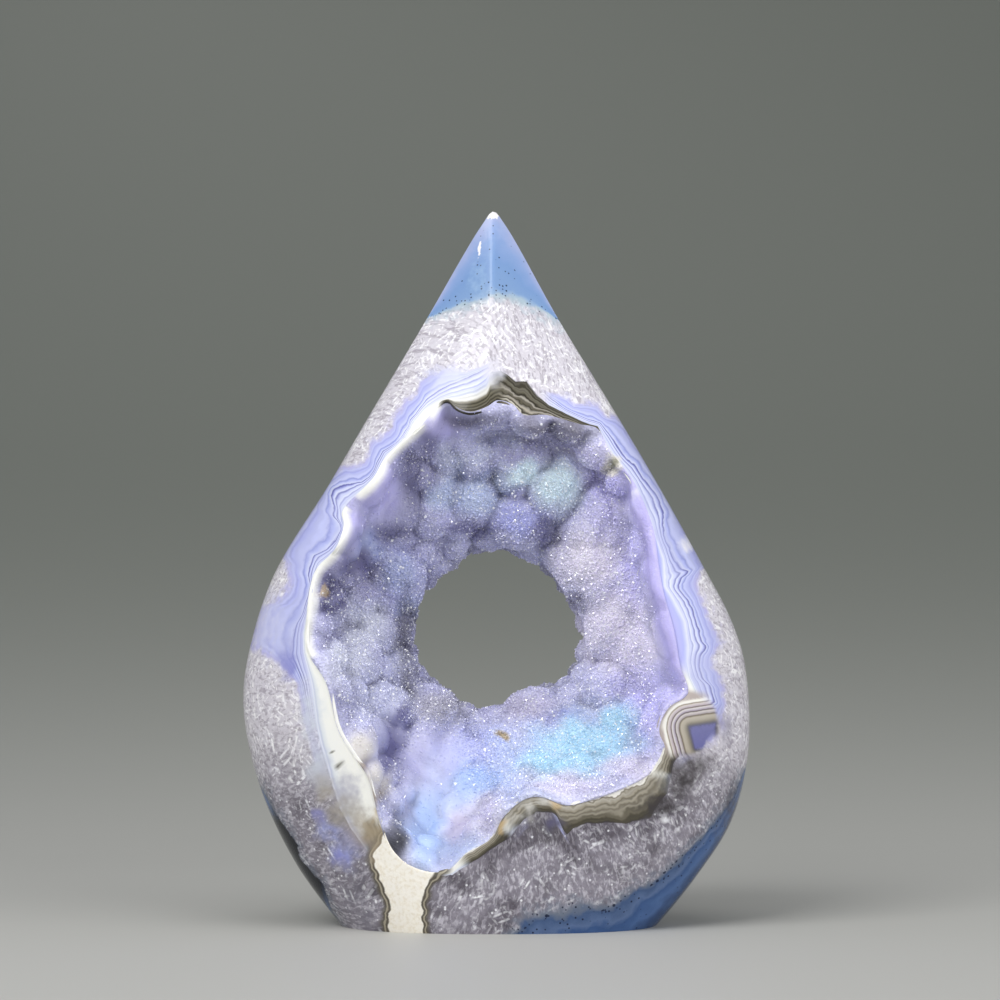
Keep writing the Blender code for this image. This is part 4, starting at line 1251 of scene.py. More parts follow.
    def build(self, material: bpy.types.Material) -> bpy.types.Object:
        """Build the stone and note its layers on the mesh.

        Args:
            material: The polished finish.

        Returns:
            The finished piece.
        """
        places, read, inner = self.sections()
        angle = ray_angles(self.rays)
        stops = self.layer_stops(angle)
        like = self.form.in_space(angle, read, -self.form.face_depth(*self.form.on_ray(angle, read)))
        drawn = self.form.eye.drawn_place(like)
        wavy = drawn + 0.35 * np.stack([waves(places, 3.0, 3), waves(places, 3.0, 4)], axis=-1)
        height = drawn[..., 1]
        inside = 1.0 - inner
        fields = {
            "layer": self.layer_at(angle, read),
            "laced": np.broadcast_to(smooth_step(1.0, 2.4, stops[3] - stops[1]), read.shape),
            "warm": spot_mask(wavy, self.warm_places, 0.25),
            "tan": spot_mask(wavy, self.tan_places, 0.25),
            "lobe": spot_mask(wavy, self.lobe_places, 0.2),
            "nose": spot_mask(wavy, self.nose_places, 0.12),
            "around_nose": self.around_nose(drawn),
            "lip": spot_mask(drawn, self.lip_places, 0.15),
            "smoke": smooth_step(27.0, 13.0, height + 0.8 * waves(places, 9.0, 61)),
            "slate": smooth_step(50.0, 30.0, height),
            "ink": spot_mask(drawn, self.ink_places, 0.2),
            "stain_and_sheen": lay_patches(wavy, self.stains_and_sheen, (0.0, 0.0, 0.0, 0.0)),
            "matrix_edge": edge_distance(drawn, np.array(self.matrix)) + 0.12 * waves(places, 1.6, 9),
            "pit": spot_mask(drawn, self.pits, 0.2),
            "chip": spot_mask(drawn, self.chip_places, 0.35),
            "ground": np.where(places[..., 2] < 0.01, 1.0, 0.0) * inside,
            "inner_wall": inner,
        }
        rows, columns = read.shape
        faces = ring_faces(rows, columns)
        flat = {name: values.reshape(rows * columns, *values.shape[2:]) for name, values in fields.items()}
        piece = add_mesh("agate_stone", places.reshape(-1, 3), faces, flat, material, self.bake_map(places))
        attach(piece, "root")
        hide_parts("agate_body")
        return piece


@dataclass
class DruseLining:
    """The lumpy crust of the hollow: a wall grid that domes raise, first large, then tiny."""

    form: StoneForm
    rays: int = 720
    lining_steps: int = 118
    backing_steps: int = 8
    ends: tuple[float, float] = (0.003, 0.985)
    valley_depths: Points = (
        (0.00, -0.20), (0.012, 0.05), (0.04, 0.55), (0.08, 1.25), (0.14, 2.00), (0.30, 2.80),
        (0.50, 2.70), (0.70, 2.20), (0.90, 1.90), (0.97, 0.80), (1.00, -0.20),
    )
    rooted: float = 0.35
    tuck: float = -0.5
    lumps: Sequence[tuple[float, float, float]] = (
        (-15.5, 56.2, 3.6), (-18.5, 50.5, 2.7), (-13.2, 44.6, 4.2), (-21.2, 42.7, 2.8),
        (-17.1, 38.2, 2.7), (-20.3, 34.3, 3.3), (-16.8, 28.2, 2.2), (-13.6, 27.6, 2.5),
        (-17.9, 22.9, 2.3), (-15.6, 18.4, 2.0), (-7.8, 28.4, 4.0), (3.9, 28.7, 3.8),
        (-8.1, 22.5, 4.3), (0.6, 24.6, 2.7), (12.3, 46.2, 4.8), (13.3, 52.1, 3.8),
        (15.5, 38.9, 4.0), (21.3, 36.2, 3.5), (19.7, 44.6, 3.0), (2.9, 52.3, 4.0),
        (-3.3, 55.7, 3.5), (-8.3, 53.7, 2.9), (-8.3, 58.5, 2.4), (-3.5, 62.7, 3.0),
        (1.7, 64.3, 2.7), (-6.7, 65.7, 2.9), (2.6, 58.9, 2.6), (8.1, 57.5, 3.5),
        (11.0, 61.8, 2.9), (5.1, 62.7, 2.4), (15.5, 55.7, 3.2), (-4.9, 52.7, 2.4),
        (-12.0, 33.3, 2.7), (-9.4, 16.2, 2.7), (-9.7, 12.6, 2.0), (-10.3, 10.1, 1.9),
        (-5.5, 11.9, 2.7), (-2.9, 16.9, 2.9), (1.0, 19.7, 2.9), (-13.3, 15.1, 1.6),
        (-8.1, 7.9, 1.6), (11.7, 18.1, 2.4), (18.5, 18.5, 2.4), (17.1, 23.3, 3.2),
        (9.4, 30.1, 2.1), (13.9, 31.4, 3.0), (19.7, 27.1, 2.3), (2.6, 16.9, 2.0),
        (10.5, 24.5, 3.6), (5.9, 21.9, 2.9), (-15.5, 47.9, 2.4), (-12.0, 61.2, 2.3),
    )
    fill_tries: int = 900
    fill_radius: tuple[float, float] = (1.5, 2.9)
    fill_space: float = 0.80
    tiny_lumps: int = 110
    tiny_radius: tuple[float, float] = (0.6, 1.2)
    spread: float = 1.25
    lift: float = 0.50
    roundness: float = 0.90
    merging: float = 4.0
    calm_places: Spots = (
        (20.5, 42.0, 5.5, 18.0), (9.0, 21.5, 15.0, 6.5), (-16.5, 56.0, 4.5, 4.5), (-8.0, 65.0, 5.0, 2.5),
        (-7.5, 21.5, 5.0, 4.0),
    )
    calmness: float = 0.72
    cavity_reach: int = 14
    sunk: float = 0.06
    seed: int = 7
    base_tint: str = "#c6c6e2"
    tints: Sequence[Tint] = (
        Tint("#a9a8cf", ((-17.0, 46.0, 9.0, 22.0), (-2.0, 60.0, 16.0, 8.5)), 0.8),
        Tint("#cac4f6", ((21.0, 42.0, 6.0, 20.0), (16.5, 57.5, 4.0, 5.0)), 0.75),
        Tint("#b9b4e2", ((-15.6, 57.3, 2.6, 3.4), (-19.1, 52.3, 1.8, 2.8), (-8.5, 66.0, 4.0, 1.8)), 0.85),
        Tint("#ebe4f0", ((12.2, 47.6, 4.4, 4.4), (15.5, 38.9, 5.0, 5.5), (18.5, 36.5, 4.0, 4.0)), 0.75),
        Tint("#d8d4f2", ((14.9, 53.4, 3.6, 2.6), (12.2, 61.6, 3.4, 1.8)), 0.7),
        Tint("#c6cbe2", ((-3.1, 62.3, 3.0, 2.4), (0.6, 64.4, 2.6, 1.5), (-6.6, 60.8, 1.8, 2.4)), 0.75),
        Tint("#c3cfea", ((-2.7, 56.3, 3.2, 2.6), (-7.4, 56.6, 1.8, 2.0)), 0.8),
        Tint("#b2b6ea", ((2.7, 53.2, 3.2, 1.9),), 0.75),
        Tint("#e0f2fa", ((8.2, 57.9, 3.2, 3.2), (3.4, 59.2, 2.8, 1.8)), 0.9),
        Tint("#a3add2", ((-13.0, 45.7, 2.8, 2.6), (-11.6, 41.6, 2.0, 2.0)), 0.7),
        Tint("#84819f", ((-18.6, 46.4, 3.4, 3.6),), 0.6, 0.9),
        Tint("#8f9ac4", ((-16.5, 49.6, 2.4, 2.0),), 0.7),
        Tint("#d2d4e2", ((-17.6, 38.6, 3.6, 3.4), (-19.6, 34.4, 3.2, 3.0)), 0.85),
        Tint("#c4c6de", ((-15.6, 29.6, 4.2, 3.8), (-13.4, 34.6, 1.8, 2.4)), 0.85),
        Tint("#bdbbdc", ((-8.1, 21.4, 5.4, 4.0),), 0.8),
        Tint("#bccdf0", ((2.0, 20.5, 8.0, 4.5), (-6.0, 13.5, 5.5, 6.0)), 0.7),
        Tint("#b4def2", ((12.2, 23.4, 6.2, 3.6), (7.6, 20.6, 4.2, 2.0), (16.2, 26.4, 2.4, 2.4)), 0.85),
        Tint("#bfc2ee", ((-3.6, 22.4, 3.6, 3.0),), 0.6),
        Tint("#9396cf", ((8.4, 27.0, 3.4, 0.8),), 0.6, 0.9),
        Tint("#dad3e6", ((8.6, 18.1, 5.0, 1.6), (17.5, 20.2, 3.6, 1.6), (-1.5, 14.6, 2.4, 3.6)), 0.75),
        Tint("#aac4ee", ((-9.4, 12.0, 2.6, 4.0), (-2.6, 18.4, 3.0, 2.2)), 0.75),
        Tint("#d9cbe0", ((-5.2, 12.6, 1.9, 2.0),), 0.7),
        Tint("#a3a0ac", ((-7.4, 28.3, 3.4, 2.0),), 0.75),
        Tint("#b9b3ca", ((4.2, 28.4, 3.4, 2.0),), 0.75),
        # Painted shade: the next four rows are dark creases and recesses of the upper hollow and its left wall.
        Tint("#4e4b72", ((-11.2, 58.2, 1.3, 4.8), (-9.2, 63.6, 1.3, 1.8), (-13.6, 51.4, 2.2, 1.5)), 0.7, 0.9),
        Tint("#54517c", ((-18.8, 47.0, 2.8, 1.3), (-22.6, 44.6, 1.2, 2.4), (-21.6, 41.4, 1.6, 1.2)), 0.85, 0.9),
        Tint("#5d5a90", ((-3.6, 51.8, 3.0, 0.9), (6.2, 51.4, 2.2, 1.5)), 0.7, 0.9),
        Tint("#7681a6", ((-1.7, 58.9, 1.6, 0.8), (1.6, 57.3, 2.0, 0.8), (-5.6, 58.8, 1.0, 2.0)), 0.6, 0.9),
        # Greyish brown under the top rim: partly the rim's own colour, partly painted shade under its overhang.
        Tint("#66626b", ((6.0, 65.6, 4.0, 1.1), (10.4, 65.0, 3.6, 0.8), (-3.4, 66.4, 3.4, 0.7)), 0.75, 0.9),
        Tint("#bdbde0", ((-0.2, 65.0, 2.6, 1.6), (-4.4, 63.6, 2.2, 1.6)), 0.7),
        Tint("#665f78", ((10.3, 42.6, 1.2, 0.8),), 0.7, 0.9),
        Tint("#5f5d66", ((-12.0, 38.0, 1.2, 5.2), (-11.3, 31.4, 1.0, 2.6)), 0.75, 0.9),
        # Painted shade: the dark indigo recess low on the left.
        Tint("#3f3b78", ((-13.6, 23.0, 1.5, 3.6), (-12.4, 26.6, 1.2, 1.4)), 0.8, 0.9),
        Tint("#a3a0c4", ((-1.5, 28.2, 1.2, 2.2),), 0.6, 0.9),
        Tint("#d6d1cb", ((-17.9, 22.9, 2.0, 2.4), (-15.6, 18.4, 1.8, 2.2)), 0.9, 0.5),
        Tint("#7d6c55", ((-17.6, 20.5, 0.8, 1.0), (-16.0, 16.4, 0.8, 1.0)), 0.75, 0.8),
        Tint("#ece7da", ((15.0, 60.2, 1.1, 1.4),), 0.95, 0.4),
        Tint("#77755a", ((15.2, 60.9, 0.4, 0.5),), 0.9, 0.6),
        # Painted shadow: the black notch between the left rim and the light-blue lumps.
        Tint("#17161d", ((-12.9, 10.4, 0.9, 3.4),), 0.9, 0.8),
        Tint("#a8946a", ((0.8, 24.3, 0.7, 0.6),), 0.9, 0.5),
        Tint("#d2bb98", ((-23.1, 43.4, 0.35, 1.0),), 0.9, 0.5),
    )
    pale_edges: Sequence[Points] = (
        (
            (-7.9, 68.3), (-9.6, 66.8), (-10.5, 65.7), (-11.9, 63.9), (-12.9, 62.7), (-14.1, 61.8),
            (-15.1, 60.3), (-15.7, 59.2), (-16.6, 58.0), (-17.4, 57.0), (-18.6, 56.5),
        ),
        (
            (-20.0, 54.2), (-19.9, 51.8), (-20.7, 49.5), (-21.8, 48.2), (-23.2, 47.4), (-23.9, 46.1),
            (-24.2, 44.4), (-24.2, 42.3), (-24.5, 40.1), (-24.9, 37.9), (-24.8, 35.0), (-24.3, 31.5),
        ),
    )
    pale_edge_tint: str = "#f3f2ec"
    # Painted highlights: white strokes where the light glints on the rounded lip on the right.
    painted_highlights: Sequence[Points] = (
        ((20.5, 50.7), (20.8, 49.0), (20.75, 47.4)), ((20.9, 45.5), (20.7, 44.4), (21.2, 43.2)),
        ((23.1, 38.1), (22.7, 36.6), (23.2, 35.3)), ((18.3, 56.8), (18.9, 54.9), (19.6, 53.3), (20.2, 52.0)),
    )
    painted_highlight_tint: str = "#fbfbff"
    lip_places: Spots = ((22.5, 45.5, 6.0, 15.5),)
    lip_tint: str = "#c1baee"
    smooth_places: Spots = (
        (-15.5, 56.2, 4.5, 4.5), (-19.5, 50.5, 4.0, 5.0), (-8.0, 66.0, 5.0, 3.0), (23.0, 37.5, 3.0, 7.0),
        (21.5, 46.0, 2.4, 7.0), (-8.0, 14.5, 5.5, 8.0), (19.0, 55.5, 2.4, 5.0), (-8.5, 21.5, 4.5, 3.5),
        (-16.8, 20.6, 3.0, 4.6), (-14.0, 24.5, 2.0, 4.0),
    )

    def valley_inset(self, station: np.ndarray) -> np.ndarray:
        """Give how far the valleys stand in from the stone, tucked into it at both ends."""
        depths = np.array(self.valley_depths)
        return np.interp(station, depths[:, 0], depths[:, 1])

    def swell(self, angle: np.ndarray, station: np.ndarray) -> np.ndarray:
        """Give how much thicker the crust is near the hole: most above it, and least below it."""
        thicker = 0.3 + 0.75 * np.sin(angle) + 0.3 * np.cos(angle) ** 2
        return thicker * smooth_step(0.22, 0.45, station) * smooth_step(0.99, 0.90, station)

    def shelf(self, angle: np.ndarray, station: np.ndarray) -> np.ndarray:
        """Give how far the crust stands in right behind the rim, where it makes a flush edge."""
        rim = self.form.eye.drawn_place(self.form.wall_place(angle, np.zeros(1), np.zeros(1)))[:, 0]
        width = 0.85 * np.max([line_mask(rim, line, 1.5) for line in self.pale_edges], axis=0)
        width = np.maximum(width, 0.6 * spot_mask(rim, self.lip_places, 0.15))
        width = sum(np.roll(width, shift) for shift in range(-5, 6)) / 11.0
        rise = smooth_step(0.002, 0.014, station) * smooth_step(0.16, 0.02, station)
        return width[:, None] * rise

    def station_of_share(self, share: float) -> float:
        """Give the station between rim and neck where the profile has a share of its reach."""
        form = self.form
        neck = form.neck_in_profile * 12
        stations = np.linspace(0.0, 1.0, len(form.profile_curve))[: neck + 1]
        rise = np.maximum.accumulate(form.profile_curve[: neck + 1, 0][::-1])
        return float(np.interp(share, rise, stations[::-1]))

    def big_lumps(self) -> list[tuple[np.ndarray, float]]:
        """Give centre and radius of the drawn lumps and then of the small ones."""
        form, places = self.form, []
        for side, height, radius in self.lumps:
            angle = math.atan2(height - form.hollow[1], side - form.hollow[0])
            distance = math.hypot(side - form.hollow[0], height - form.hollow[1])
            rim, hole = form.drawn_rim_radius(angle), form.drawn_hole_radius(angle)
            places.append((angle, self.station_of_share((distance - hole) / (rim - hole)), radius))
        lumps = [(self.root_of(angle, station), radius) for angle, station, radius in places]
        chance = random.Random(self.seed)
        for _ in range(self.fill_tries):
            angle, station = chance.uniform(-math.pi, math.pi), chance.uniform(0.05, 0.97)
            root, radius = self.root_of(angle, station), chance.uniform(*self.fill_radius)
            radius *= 1.0 - 0.5 * float(smooth_step(0.7, 0.85, np.float64(station)))
            gaps = (np.linalg.norm(root - other) - self.fill_space * (radius + size) for other, size in lumps)
            if min(gaps) > 0.0:
                lumps.append((root, radius))
        return lumps

    def root_of(self, angle: float, station: float) -> np.ndarray:
        """Give a lump's centre, a little under the valleys."""
        inset = self.valley_inset(station) + self.swell(angle, station) - self.rooted
        return self.form.wall_place(angle, station, inset)

    def raise_lumps(
        self, valley: np.ndarray, lumps: Sequence[tuple[np.ndarray, float]], spread: float, lift: float,
    ) -> tuple[np.ndarray, np.ndarray]:
        """Raise a grid by the domes of the lumps.

        A place moves out along its own normal by the domes over it, added up as the root of
        the sum of their powers, so that creases stay soft. At a distance from a lump's centre,
        its dome is lift * reach * (1 - (distance / reach) ^ 2) ^ roundness.

        Args:
            valley: The grid's places.
            lumps: Centre and radius of each lump.
            spread: A dome's reach as a multiple of its lump's radius.
            lift: A dome's height as a multiple of its reach.

        Returns:
            The new grid, and how high each place rose as a share of the dome over it.
        """
        total, share = np.zeros(valley.shape[:2]), np.zeros(valley.shape[:2])
        for centre, radius in lumps:
            reach = spread * radius
            near = np.clip(1.0 - np.sum((valley - centre) ** 2, axis=-1) / reach ** 2, 0.0, None)
            total += (lift * reach * near ** self.roundness) ** self.merging
            share = np.maximum(share, near)
        height = total ** (1.0 / self.merging)
        height *= 1.0 - self.calmness * spot_mask(self.form.eye.drawn_place(valley), self.calm_places, 0.5)
        return valley + grid_normals(valley) * height[..., None], share

    def cavity(self, valley: np.ndarray, grid: np.ndarray) -> np.ndarray:
        """Give how far each place lies above or under the mean of the places around it."""
        height = np.linalg.norm(grid - valley, axis=-1)
        mean = height
        for axis in (0, 1):
            shifts = range(-self.cavity_reach, self.cavity_reach + 1, 2)
            if axis == 0:
                mean = sum(np.roll(mean, shift, axis=0) for shift in shifts) / len(shifts)
            else:
                columns = np.arange(mean.shape[1])
                mean = sum(mean[:, np.clip(columns + shift // 4, 0, columns[-1])] for shift in shifts) / len(shifts)
        return height - mean

    def surface(self) -> tuple[np.ndarray, np.ndarray]:
        """Work out the visible side of the crust.

        Returns:
            The grid's places, and the painted shade of each one, from 0 to 1: how deep it lies in a crease between
            lumps or under its neighbours.
        """
        angle = ray_angles(self.rays)
        station = np.linspace(*self.ends, self.lining_steps)
        inset = self.valley_inset(station) + self.shelf(angle, station) + self.swell(angle, station)
        valley = self.form.wall_place(angle, station, inset)
        valley = valley + 0.25 * grid_normals(valley) * waves(valley, 5.0, 21)[..., None]
        grid, share = self.raise_lumps(valley, self.big_lumps(), self.spread, self.lift)
        chance = np.random.default_rng(self.seed)
        rows = chance.integers(0, self.rays, self.tiny_lumps)
        columns = chance.integers(6, self.lining_steps - 4, self.tiny_lumps)
        radii = chance.uniform(*self.tiny_radius, self.tiny_lumps)
        tiny = list(zip(grid[rows, columns], radii))
        grid, tiny_share = self.raise_lumps(grid, tiny, 1.1, 0.26)
        front = self.form.wall_place(angle, np.zeros(1), np.zeros(1))[..., 1]
        grid[..., 1] = np.maximum(grid[..., 1], front + self.sunk)
        relief = self.cavity(valley, grid)
        # Painted shade: creases between lumps, and places lower than their neighbours, are darkened.
        crease_shade = 0.4 * (1.0 - smooth_step(0.0, 0.45, share)) * (1.0 - 0.6 * smooth_step(0.0, 0.5, tiny_share))
        crease_shade = np.maximum(crease_shade, smooth_step(0.0, -0.9, relief))
        return grid, crease_shade * smooth_step(0.01, 0.07, station)

    def tint_at(self, drawn: np.ndarray, places: np.ndarray) -> np.ndarray:
        """Mix the tint patches over the base colour, with edges that waver: real colour patches, and painted shade in
        creases and recesses.
        """
        wavy = drawn + 0.45 * np.stack([waves(places, 5.0, 31), waves(places, 5.0, 32)], axis=-1)
        return lay_patches(wavy, self.tints, linear(self.base_tint))

    def fields_at(self, places: np.ndarray, crease_shade: np.ndarray, station: np.ndarray) -> dict[str, np.ndarray]:
        """Give the tint, painted crease shade and sugar of places on the crust."""
        drawn = self.form.eye.drawn_place(places)
        smooth = spot_mask(drawn, self.smooth_places, 0.5)
        sugar = 1.0 - 0.85 * smooth
        tint = self.tint_at(drawn, places)
        pale = np.max([line_mask(drawn, line, 0.55) for line in self.pale_edges], axis=0)
        pale *= smooth_step(0.20, 0.12, station)
        painted_highlights = np.max([line_mask(drawn, line, 0.26) for line in self.painted_highlights], axis=0)
        sugar *= 1.0 - np.maximum(pale, painted_highlights)
        # Painted highlight: the white strokes on the right lip.
        tint = tint + painted_highlights[..., None] * (np.array(linear(self.painted_highlight_tint)) - tint)
        tint = tint + pale[..., None] * (np.array(linear(self.pale_edge_tint)) - tint)
        lip = spot_mask(drawn, self.lip_places, 0.3) * smooth_step(0.10, 0.02, station)
        tint = tint + lip[..., None] * (np.array(linear(self.lip_tint)) - tint)
        # Partly the crust's own grey near the hole, partly painted shade deep in the hollow: the crust darkens towards
        # the hole.
        dusk = smooth_step(0.72, 0.9, station) * 0.45
        tint = tint + dusk[..., None] * (np.array(linear("#6f6c7c")) - tint)
        return {"tint": tint, "crease_shade": crease_shade, "sugar": sugar}

    def bake_map(self, rows: int, columns: int) -> np.ndarray:
        """Lay the ring on the texture as two strips, each half of the way round."""
        u = 0.01 + 0.98 * np.linspace(0.0, 2.0, rows + 1)
        v = 0.01 + 0.48 * np.linspace(0.0, 1.0, columns + 1)
        corners = np.stack(np.broadcast_arrays(u[:, None], v[None, :]), axis=-1)
        cells = AgateStone.cell_corners(corners)
        half = rows // 2
        cells[half:] += np.array([-0.98, 0.5])
        return cells.reshape(-1, 2)

    def build(self, material: bpy.types.Material) -> bpy.types.Object:
        """Build the crust as a closed ring: the lumpy side, then a plain back in the stone."""
        grid, crease_shade = self.surface()
        station = np.linspace(*self.ends, self.lining_steps)
        self.grid, self.crease_shade = grid, crease_shade
        fields = self.fields_at(grid, crease_shade, np.broadcast_to(station, crease_shade.shape))
        self.fields = fields
        back_station = np.linspace(self.ends[1], self.ends[0], self.backing_steps)
        back = self.form.wall_place(ray_angles(self.rays), back_station, np.full(self.backing_steps, self.tuck))
        places = np.concatenate([grid, back], axis=1)
        half = self.backing_steps // 2
        columns = np.r_[0:self.lining_steps, np.full(half, self.lining_steps - 1), np.zeros(self.backing_steps - half, int)]
        flat = {name: values[:, columns] for name, values in fields.items()}
        flat = {name: values.reshape(-1, *values.shape[2:]) for name, values in flat.items()}
        rows, columns = places.shape[:2]
        piece = add_mesh(
            "druse_lining", places.reshape(-1, 3), ring_faces(rows, columns), flat, material,
            self.bake_map(rows, columns), 180.0,
        )
        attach(piece, "root")
        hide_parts("druzy_crust")
        return piece


@dataclass
class DruseCrystals:
    """A crop of small quartz crystals that stand on the lining, all in one mesh."""

    lining: DruseLining
    name: str
    habit: Habit
    count: int
    size: tuple[float, float]
    lean: float
    seed: int
    sugar_power: float = 1.5
    sunk: float = 0.25
    shining: float = 0.07

    def scatter(self) -> tuple[np.ndarray, np.ndarray, np.ndarray]:
        """Choose where crystals stand: cells by their area and how sugary they are.

        Returns:
            The places, their normals, and the grid cell of each.
        """
        grid = self.lining.grid
        normals = grid_normals(grid)
        across = np.roll(grid, -1, axis=0)[:, :-1] - grid[:, :-1]
        along = grid[:, 1:] - grid[:, :-1]
        area = np.linalg.norm(np.cross(across, along), axis=-1)
        wish = area * self.lining.fields["sugar"][:, :-1] ** self.sugar_power
        wish[:, :5] *= 0.1
        chance = np.random.default_rng(self.seed)
        cells = np.sort(chance.choice(wish.size, self.count, p=(wish / wish.sum()).ravel()))
        row, column = np.divmod(cells, wish.shape[1])
        across_share, along_share = chance.random((2, self.count, 1))
        next_row = (row + 1) % grid.shape[0]
        low = grid[row, column] + along_share * (grid[row, column + 1] - grid[row, column])
        high = grid[next_row, column] + along_share * (grid[next_row, column + 1] - grid[next_row, column])
        return low + across_share * (high - low), normals[row, column], np.stack([row, column], axis=-1)

    def one_crystal(self) -> tuple[np.ndarray, np.ndarray]:
        """Give the corners and faces of one crystal of unit size.

        A point is a three-faced tip. A prism is six-sided, with a tip of six faces.

        Returns:
            Corners, and faces as triangles that point out.
        """
        sides = self.habit.value
        turn = 2.0 * math.pi * np.arange(sides) / sides
        ring = np.stack([np.cos(turn) * 0.5, np.sin(turn) * 0.5, np.zeros(sides)], axis=-1)
        here = np.arange(sides)
        ahead = (here + 1) % sides
        if self.habit is Habit.POINT:
            corners = np.vstack([ring, [[0.0, 0.0, 0.62]]])
            faces = [(here[i], ahead[i], sides) for i in range(sides)] + [(2, 1, 0)]
            return corners, np.array(faces)
        shoulder = ring + np.array([0.0, 0.0, 0.55])
        corners = np.vstack([ring, shoulder, [[0.0, 0.0, 1.1]]])
        faces = [(here[i], ahead[i], sides + ahead[i]) for i in range(sides)]
        faces += [(here[i], sides + ahead[i], sides + here[i]) for i in range(sides)]
        faces += [(sides + here[i], sides + ahead[i], 2 * sides) for i in range(sides)]
        faces += [(0, i + 1, i) for i in range(1, sides - 1)]
        return corners, np.array(faces)

    def build(self, material: bpy.types.Material) -> bpy.types.Object:
        """Stand a turned, leaning copy of the crystal at each place.

        Args:
            material: The crystals' finish.

        Returns:
            The finished piece.
        """
        places, normals, cell = self.scatter()
        chance = np.random.default_rng(self.seed + 1)
        axis = normals + self.lean * chance.normal(size=normals.shape)
        axis /= np.linalg.norm(axis, axis=1, keepdims=True)
        helper = chance.normal(size=axis.shape)
        first = np.cross(axis, helper)
        first /= np.linalg.norm(first, axis=1, keepdims=True)
        second = np.cross(axis, first)
        size = chance.uniform(*self.size, self.count) ** 1.0
        corners, faces = self.one_crystal()
        base = np.stack([first, second, axis], axis=1)
        shape = np.einsum("ck,nkj->ncj", corners, base) * size[:, None, None]
        shape += (places - axis * (self.sunk * size)[:, None])[:, None, :]
        each = len(corners)
        index = faces[None] + (np.arange(self.count) * each)[:, None, None]
        lining = self.lining.fields
        fields = {
            name: np.repeat(values[cell[:, 0], cell[:, 1]], each, axis=0) for name, values in lining.items()
        }
        # The crystals carry the lining's painted crease shade, a little weaker.
        fields["crease_shade"] = fields["crease_shade"] * 0.8
        shines = chance.random(self.count) < self.shining
        fields["spark"] = np.repeat(shines.astype(float), each)
        piece = add_mesh(
            self.name, shape.reshape(-1, 3), index.reshape(-1, 3), fields, material,
            self.bake_map(len(faces)), 5.0,
        )
        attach(piece, "root")
        return piece

    def bake_map(self, face_count: int) -> np.ndarray:
        """Give each crystal a cell of the texture, and each of its faces a slice of the cell."""
        across = math.ceil(math.sqrt(self.count))
        row, column = np.divmod(np.arange(self.count), across)
        cell = 1.0 / across
        slice_start = np.arange(face_count) / face_count
        slice_width = 0.9 / face_count
        low = np.stack([slice_start, np.full(face_count, 0.1)], axis=-1)
        corner = np.stack([low, low + [slice_width, 0.0], low + [0.5 * slice_width, 0.8]], axis=1)
        origin = np.stack([column, row], axis=-1)[:, None, None, :]
        return ((origin + corner[None]) * cell).reshape(-1, 2)


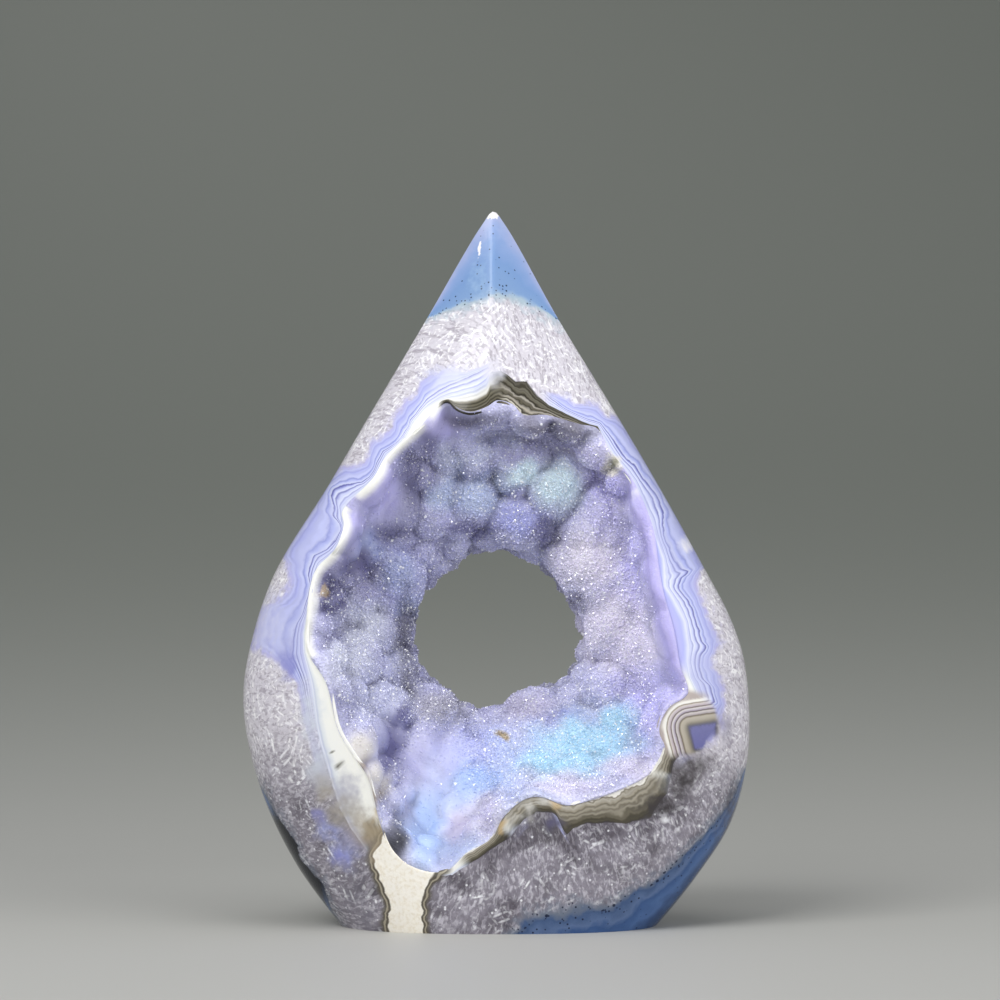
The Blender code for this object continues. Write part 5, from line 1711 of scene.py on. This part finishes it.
@dataclass
class Studio:
    """A pale floor that sweeps up into a grey backdrop, soft lights and the camera."""

    eye: Eye
    floor_colour: str = "#b7b6b1"
    backdrop_colour: str = "#6d7069"
    top_colour: str = "#5a5e56"
    key: tuple[float, float, float] = (-260.0, -330.0, 430.0)
    fill: tuple[float, float, float] = (360.0, -300.0, 160.0)
    crown: tuple[float, float, float] = (30.0, -140.0, 520.0)

    def sweep(self) -> bpy.types.Object:
        """Make the floor and backdrop: a profile that turns up in a quarter circle, drawn wide."""
        turn = np.linspace(0.0, math.pi / 2.0, 25)
        start, radius, top = 90.0, 260.0, 900.0
        profile = np.vstack([
            [[-700.0, 0.0]],
            np.stack([start + radius * np.sin(turn), radius * (1.0 - np.cos(turn))], axis=-1),
            [[start + radius, top]],
        ])
        width = np.array([-900.0, 900.0])
        places = np.stack(np.broadcast_arrays(width[:, None], profile[None, :, 0], profile[None, :, 1]), axis=-1)
        columns = len(profile)
        here = np.arange(columns - 1)
        faces = np.stack([here, columns + here, columns + here + 1, here + 1], axis=-1)
        return add_mesh("studio_sweep", places.reshape(-1, 3), faces, {}, self.paper(), None, 180.0)

    def paper(self) -> bpy.types.Material:
        """Make the backdrop's finish: pale on the floor, and darker with height behind."""
        material, wiring, shader = new_material("studio_paper")
        where = wiring.millimetres()
        parts = wiring.add("SeparateXYZ", {0: where})
        back = wiring.span(parts.outputs[1], 70.0, 300.0)
        colour = wiring.mix(back, linear(self.floor_colour), linear(self.backdrop_colour))
        colour = wiring.mix(wiring.span(parts.outputs[2], 60.0, 420.0), colour, linear(self.top_colour))
        wiring.tree.links.new(colour, shader.inputs["Base Color"])
        shader.inputs["Roughness"].default_value = 0.55
        return material

    def light(self, name: str, place: tuple[float, float, float], size: float, watts: float) -> None:
        """Hang a square soft light that faces the stone."""
        lamp = bpy.data.lights.new(name, "AREA")
        lamp.shape = "SQUARE"
        lamp.size = size * MM
        lamp.energy = watts
        holder = bpy.data.objects.new(name, lamp)
        aim = np.array([0.0, 0.0, 42.0]) - np.array(place)
        flat = math.hypot(aim[0], aim[1])
        holder.rotation_euler = (math.atan2(flat, -aim[2]), 0.0, math.atan2(-aim[0], aim[1]))
        holder.location = tuple(part * MM for part in place)
        bpy.context.scene.collection.objects.link(holder)

    def camera(self) -> None:
        """Stand the camera at the drawing's eye, tilted up a little."""
        view = bpy.data.cameras.new("front_view")
        view.lens = self.eye.lens
        view.sensor_width = 36.0
        view.clip_start = 0.01
        holder = bpy.data.objects.new("front_view", view)
        holder.location = (self.eye.side * MM, -self.eye.distance * MM, self.eye.height * MM)
        holder.rotation_euler = (math.radians(90.0 + self.eye.pitch), 0.0, 0.0)
        bpy.context.scene.collection.objects.link(holder)
        bpy.context.scene.camera = holder

    def build(self) -> None:
        """Put up the whole studio."""
        self.sweep()
        self.light("key_light", self.key, 320.0, 2.35)
        self.light("fill_light", self.fill, 420.0, 1.45)
        self.light("crown_light", self.crown, 320.0, 0.5)
        world = bpy.data.worlds.new("studio_air")
        world.use_nodes = True
        air = world.node_tree.nodes["Background"]
        air.inputs["Color"].default_value = (0.80, 0.85, 0.95, 1.0)
        air.inputs["Strength"].default_value = 0.34
        bpy.context.scene.world = world
        bpy.context.scene.view_settings.view_transform = "Standard"
        self.camera()


def triangle_count(piece: bpy.types.Object) -> int:
    """Count the triangles of a piece."""
    return sum(len(face.vertices) - 2 for face in piece.data.polygons)


def main() -> None:
    """Build every piece in order and report it."""
    form = StoneForm()
    Studio(form.eye).build()
    sparkle, mottle = sparkle_group(), mottle_group()
    stone = AgateStone(form).build(PolishedAgate().build(sparkle, mottle))
    log.info("%s: %d triangles", stone.name, triangle_count(stone))
    lining = DruseLining(form)
    crust = lining.build(Druse().build(sparkle, mottle))
    log.info("%s: %d triangles", crust.name, triangle_count(crust))
    crystal = Druse("druse_crystals", roughness=0.14, grains=5.0, rarity=0.9, relief=0.0, whiten=0.15, glow=0.0, bend=2.2)
    finish = crystal.build(sparkle, mottle)
    crops = (
        DruseCrystals(lining, "druse_points_fine", Habit.POINT, 46000, (0.20, 0.36), 0.35, 11),
        DruseCrystals(lining, "druse_points_coarse", Habit.POINT, 30000, (0.28, 0.50), 0.40, 13),
        DruseCrystals(lining, "druse_prisms", Habit.PRISM, 4500, (0.22, 0.42), 0.45, 17, 3.0),
    )
    for crop in crops:
        piece = crop.build(finish)
        log.info("%s: %d triangles", piece.name, triangle_count(piece))


if __name__ == "__main__":
    logging.basicConfig(level=logging.INFO, format="%(message)s")
    main()
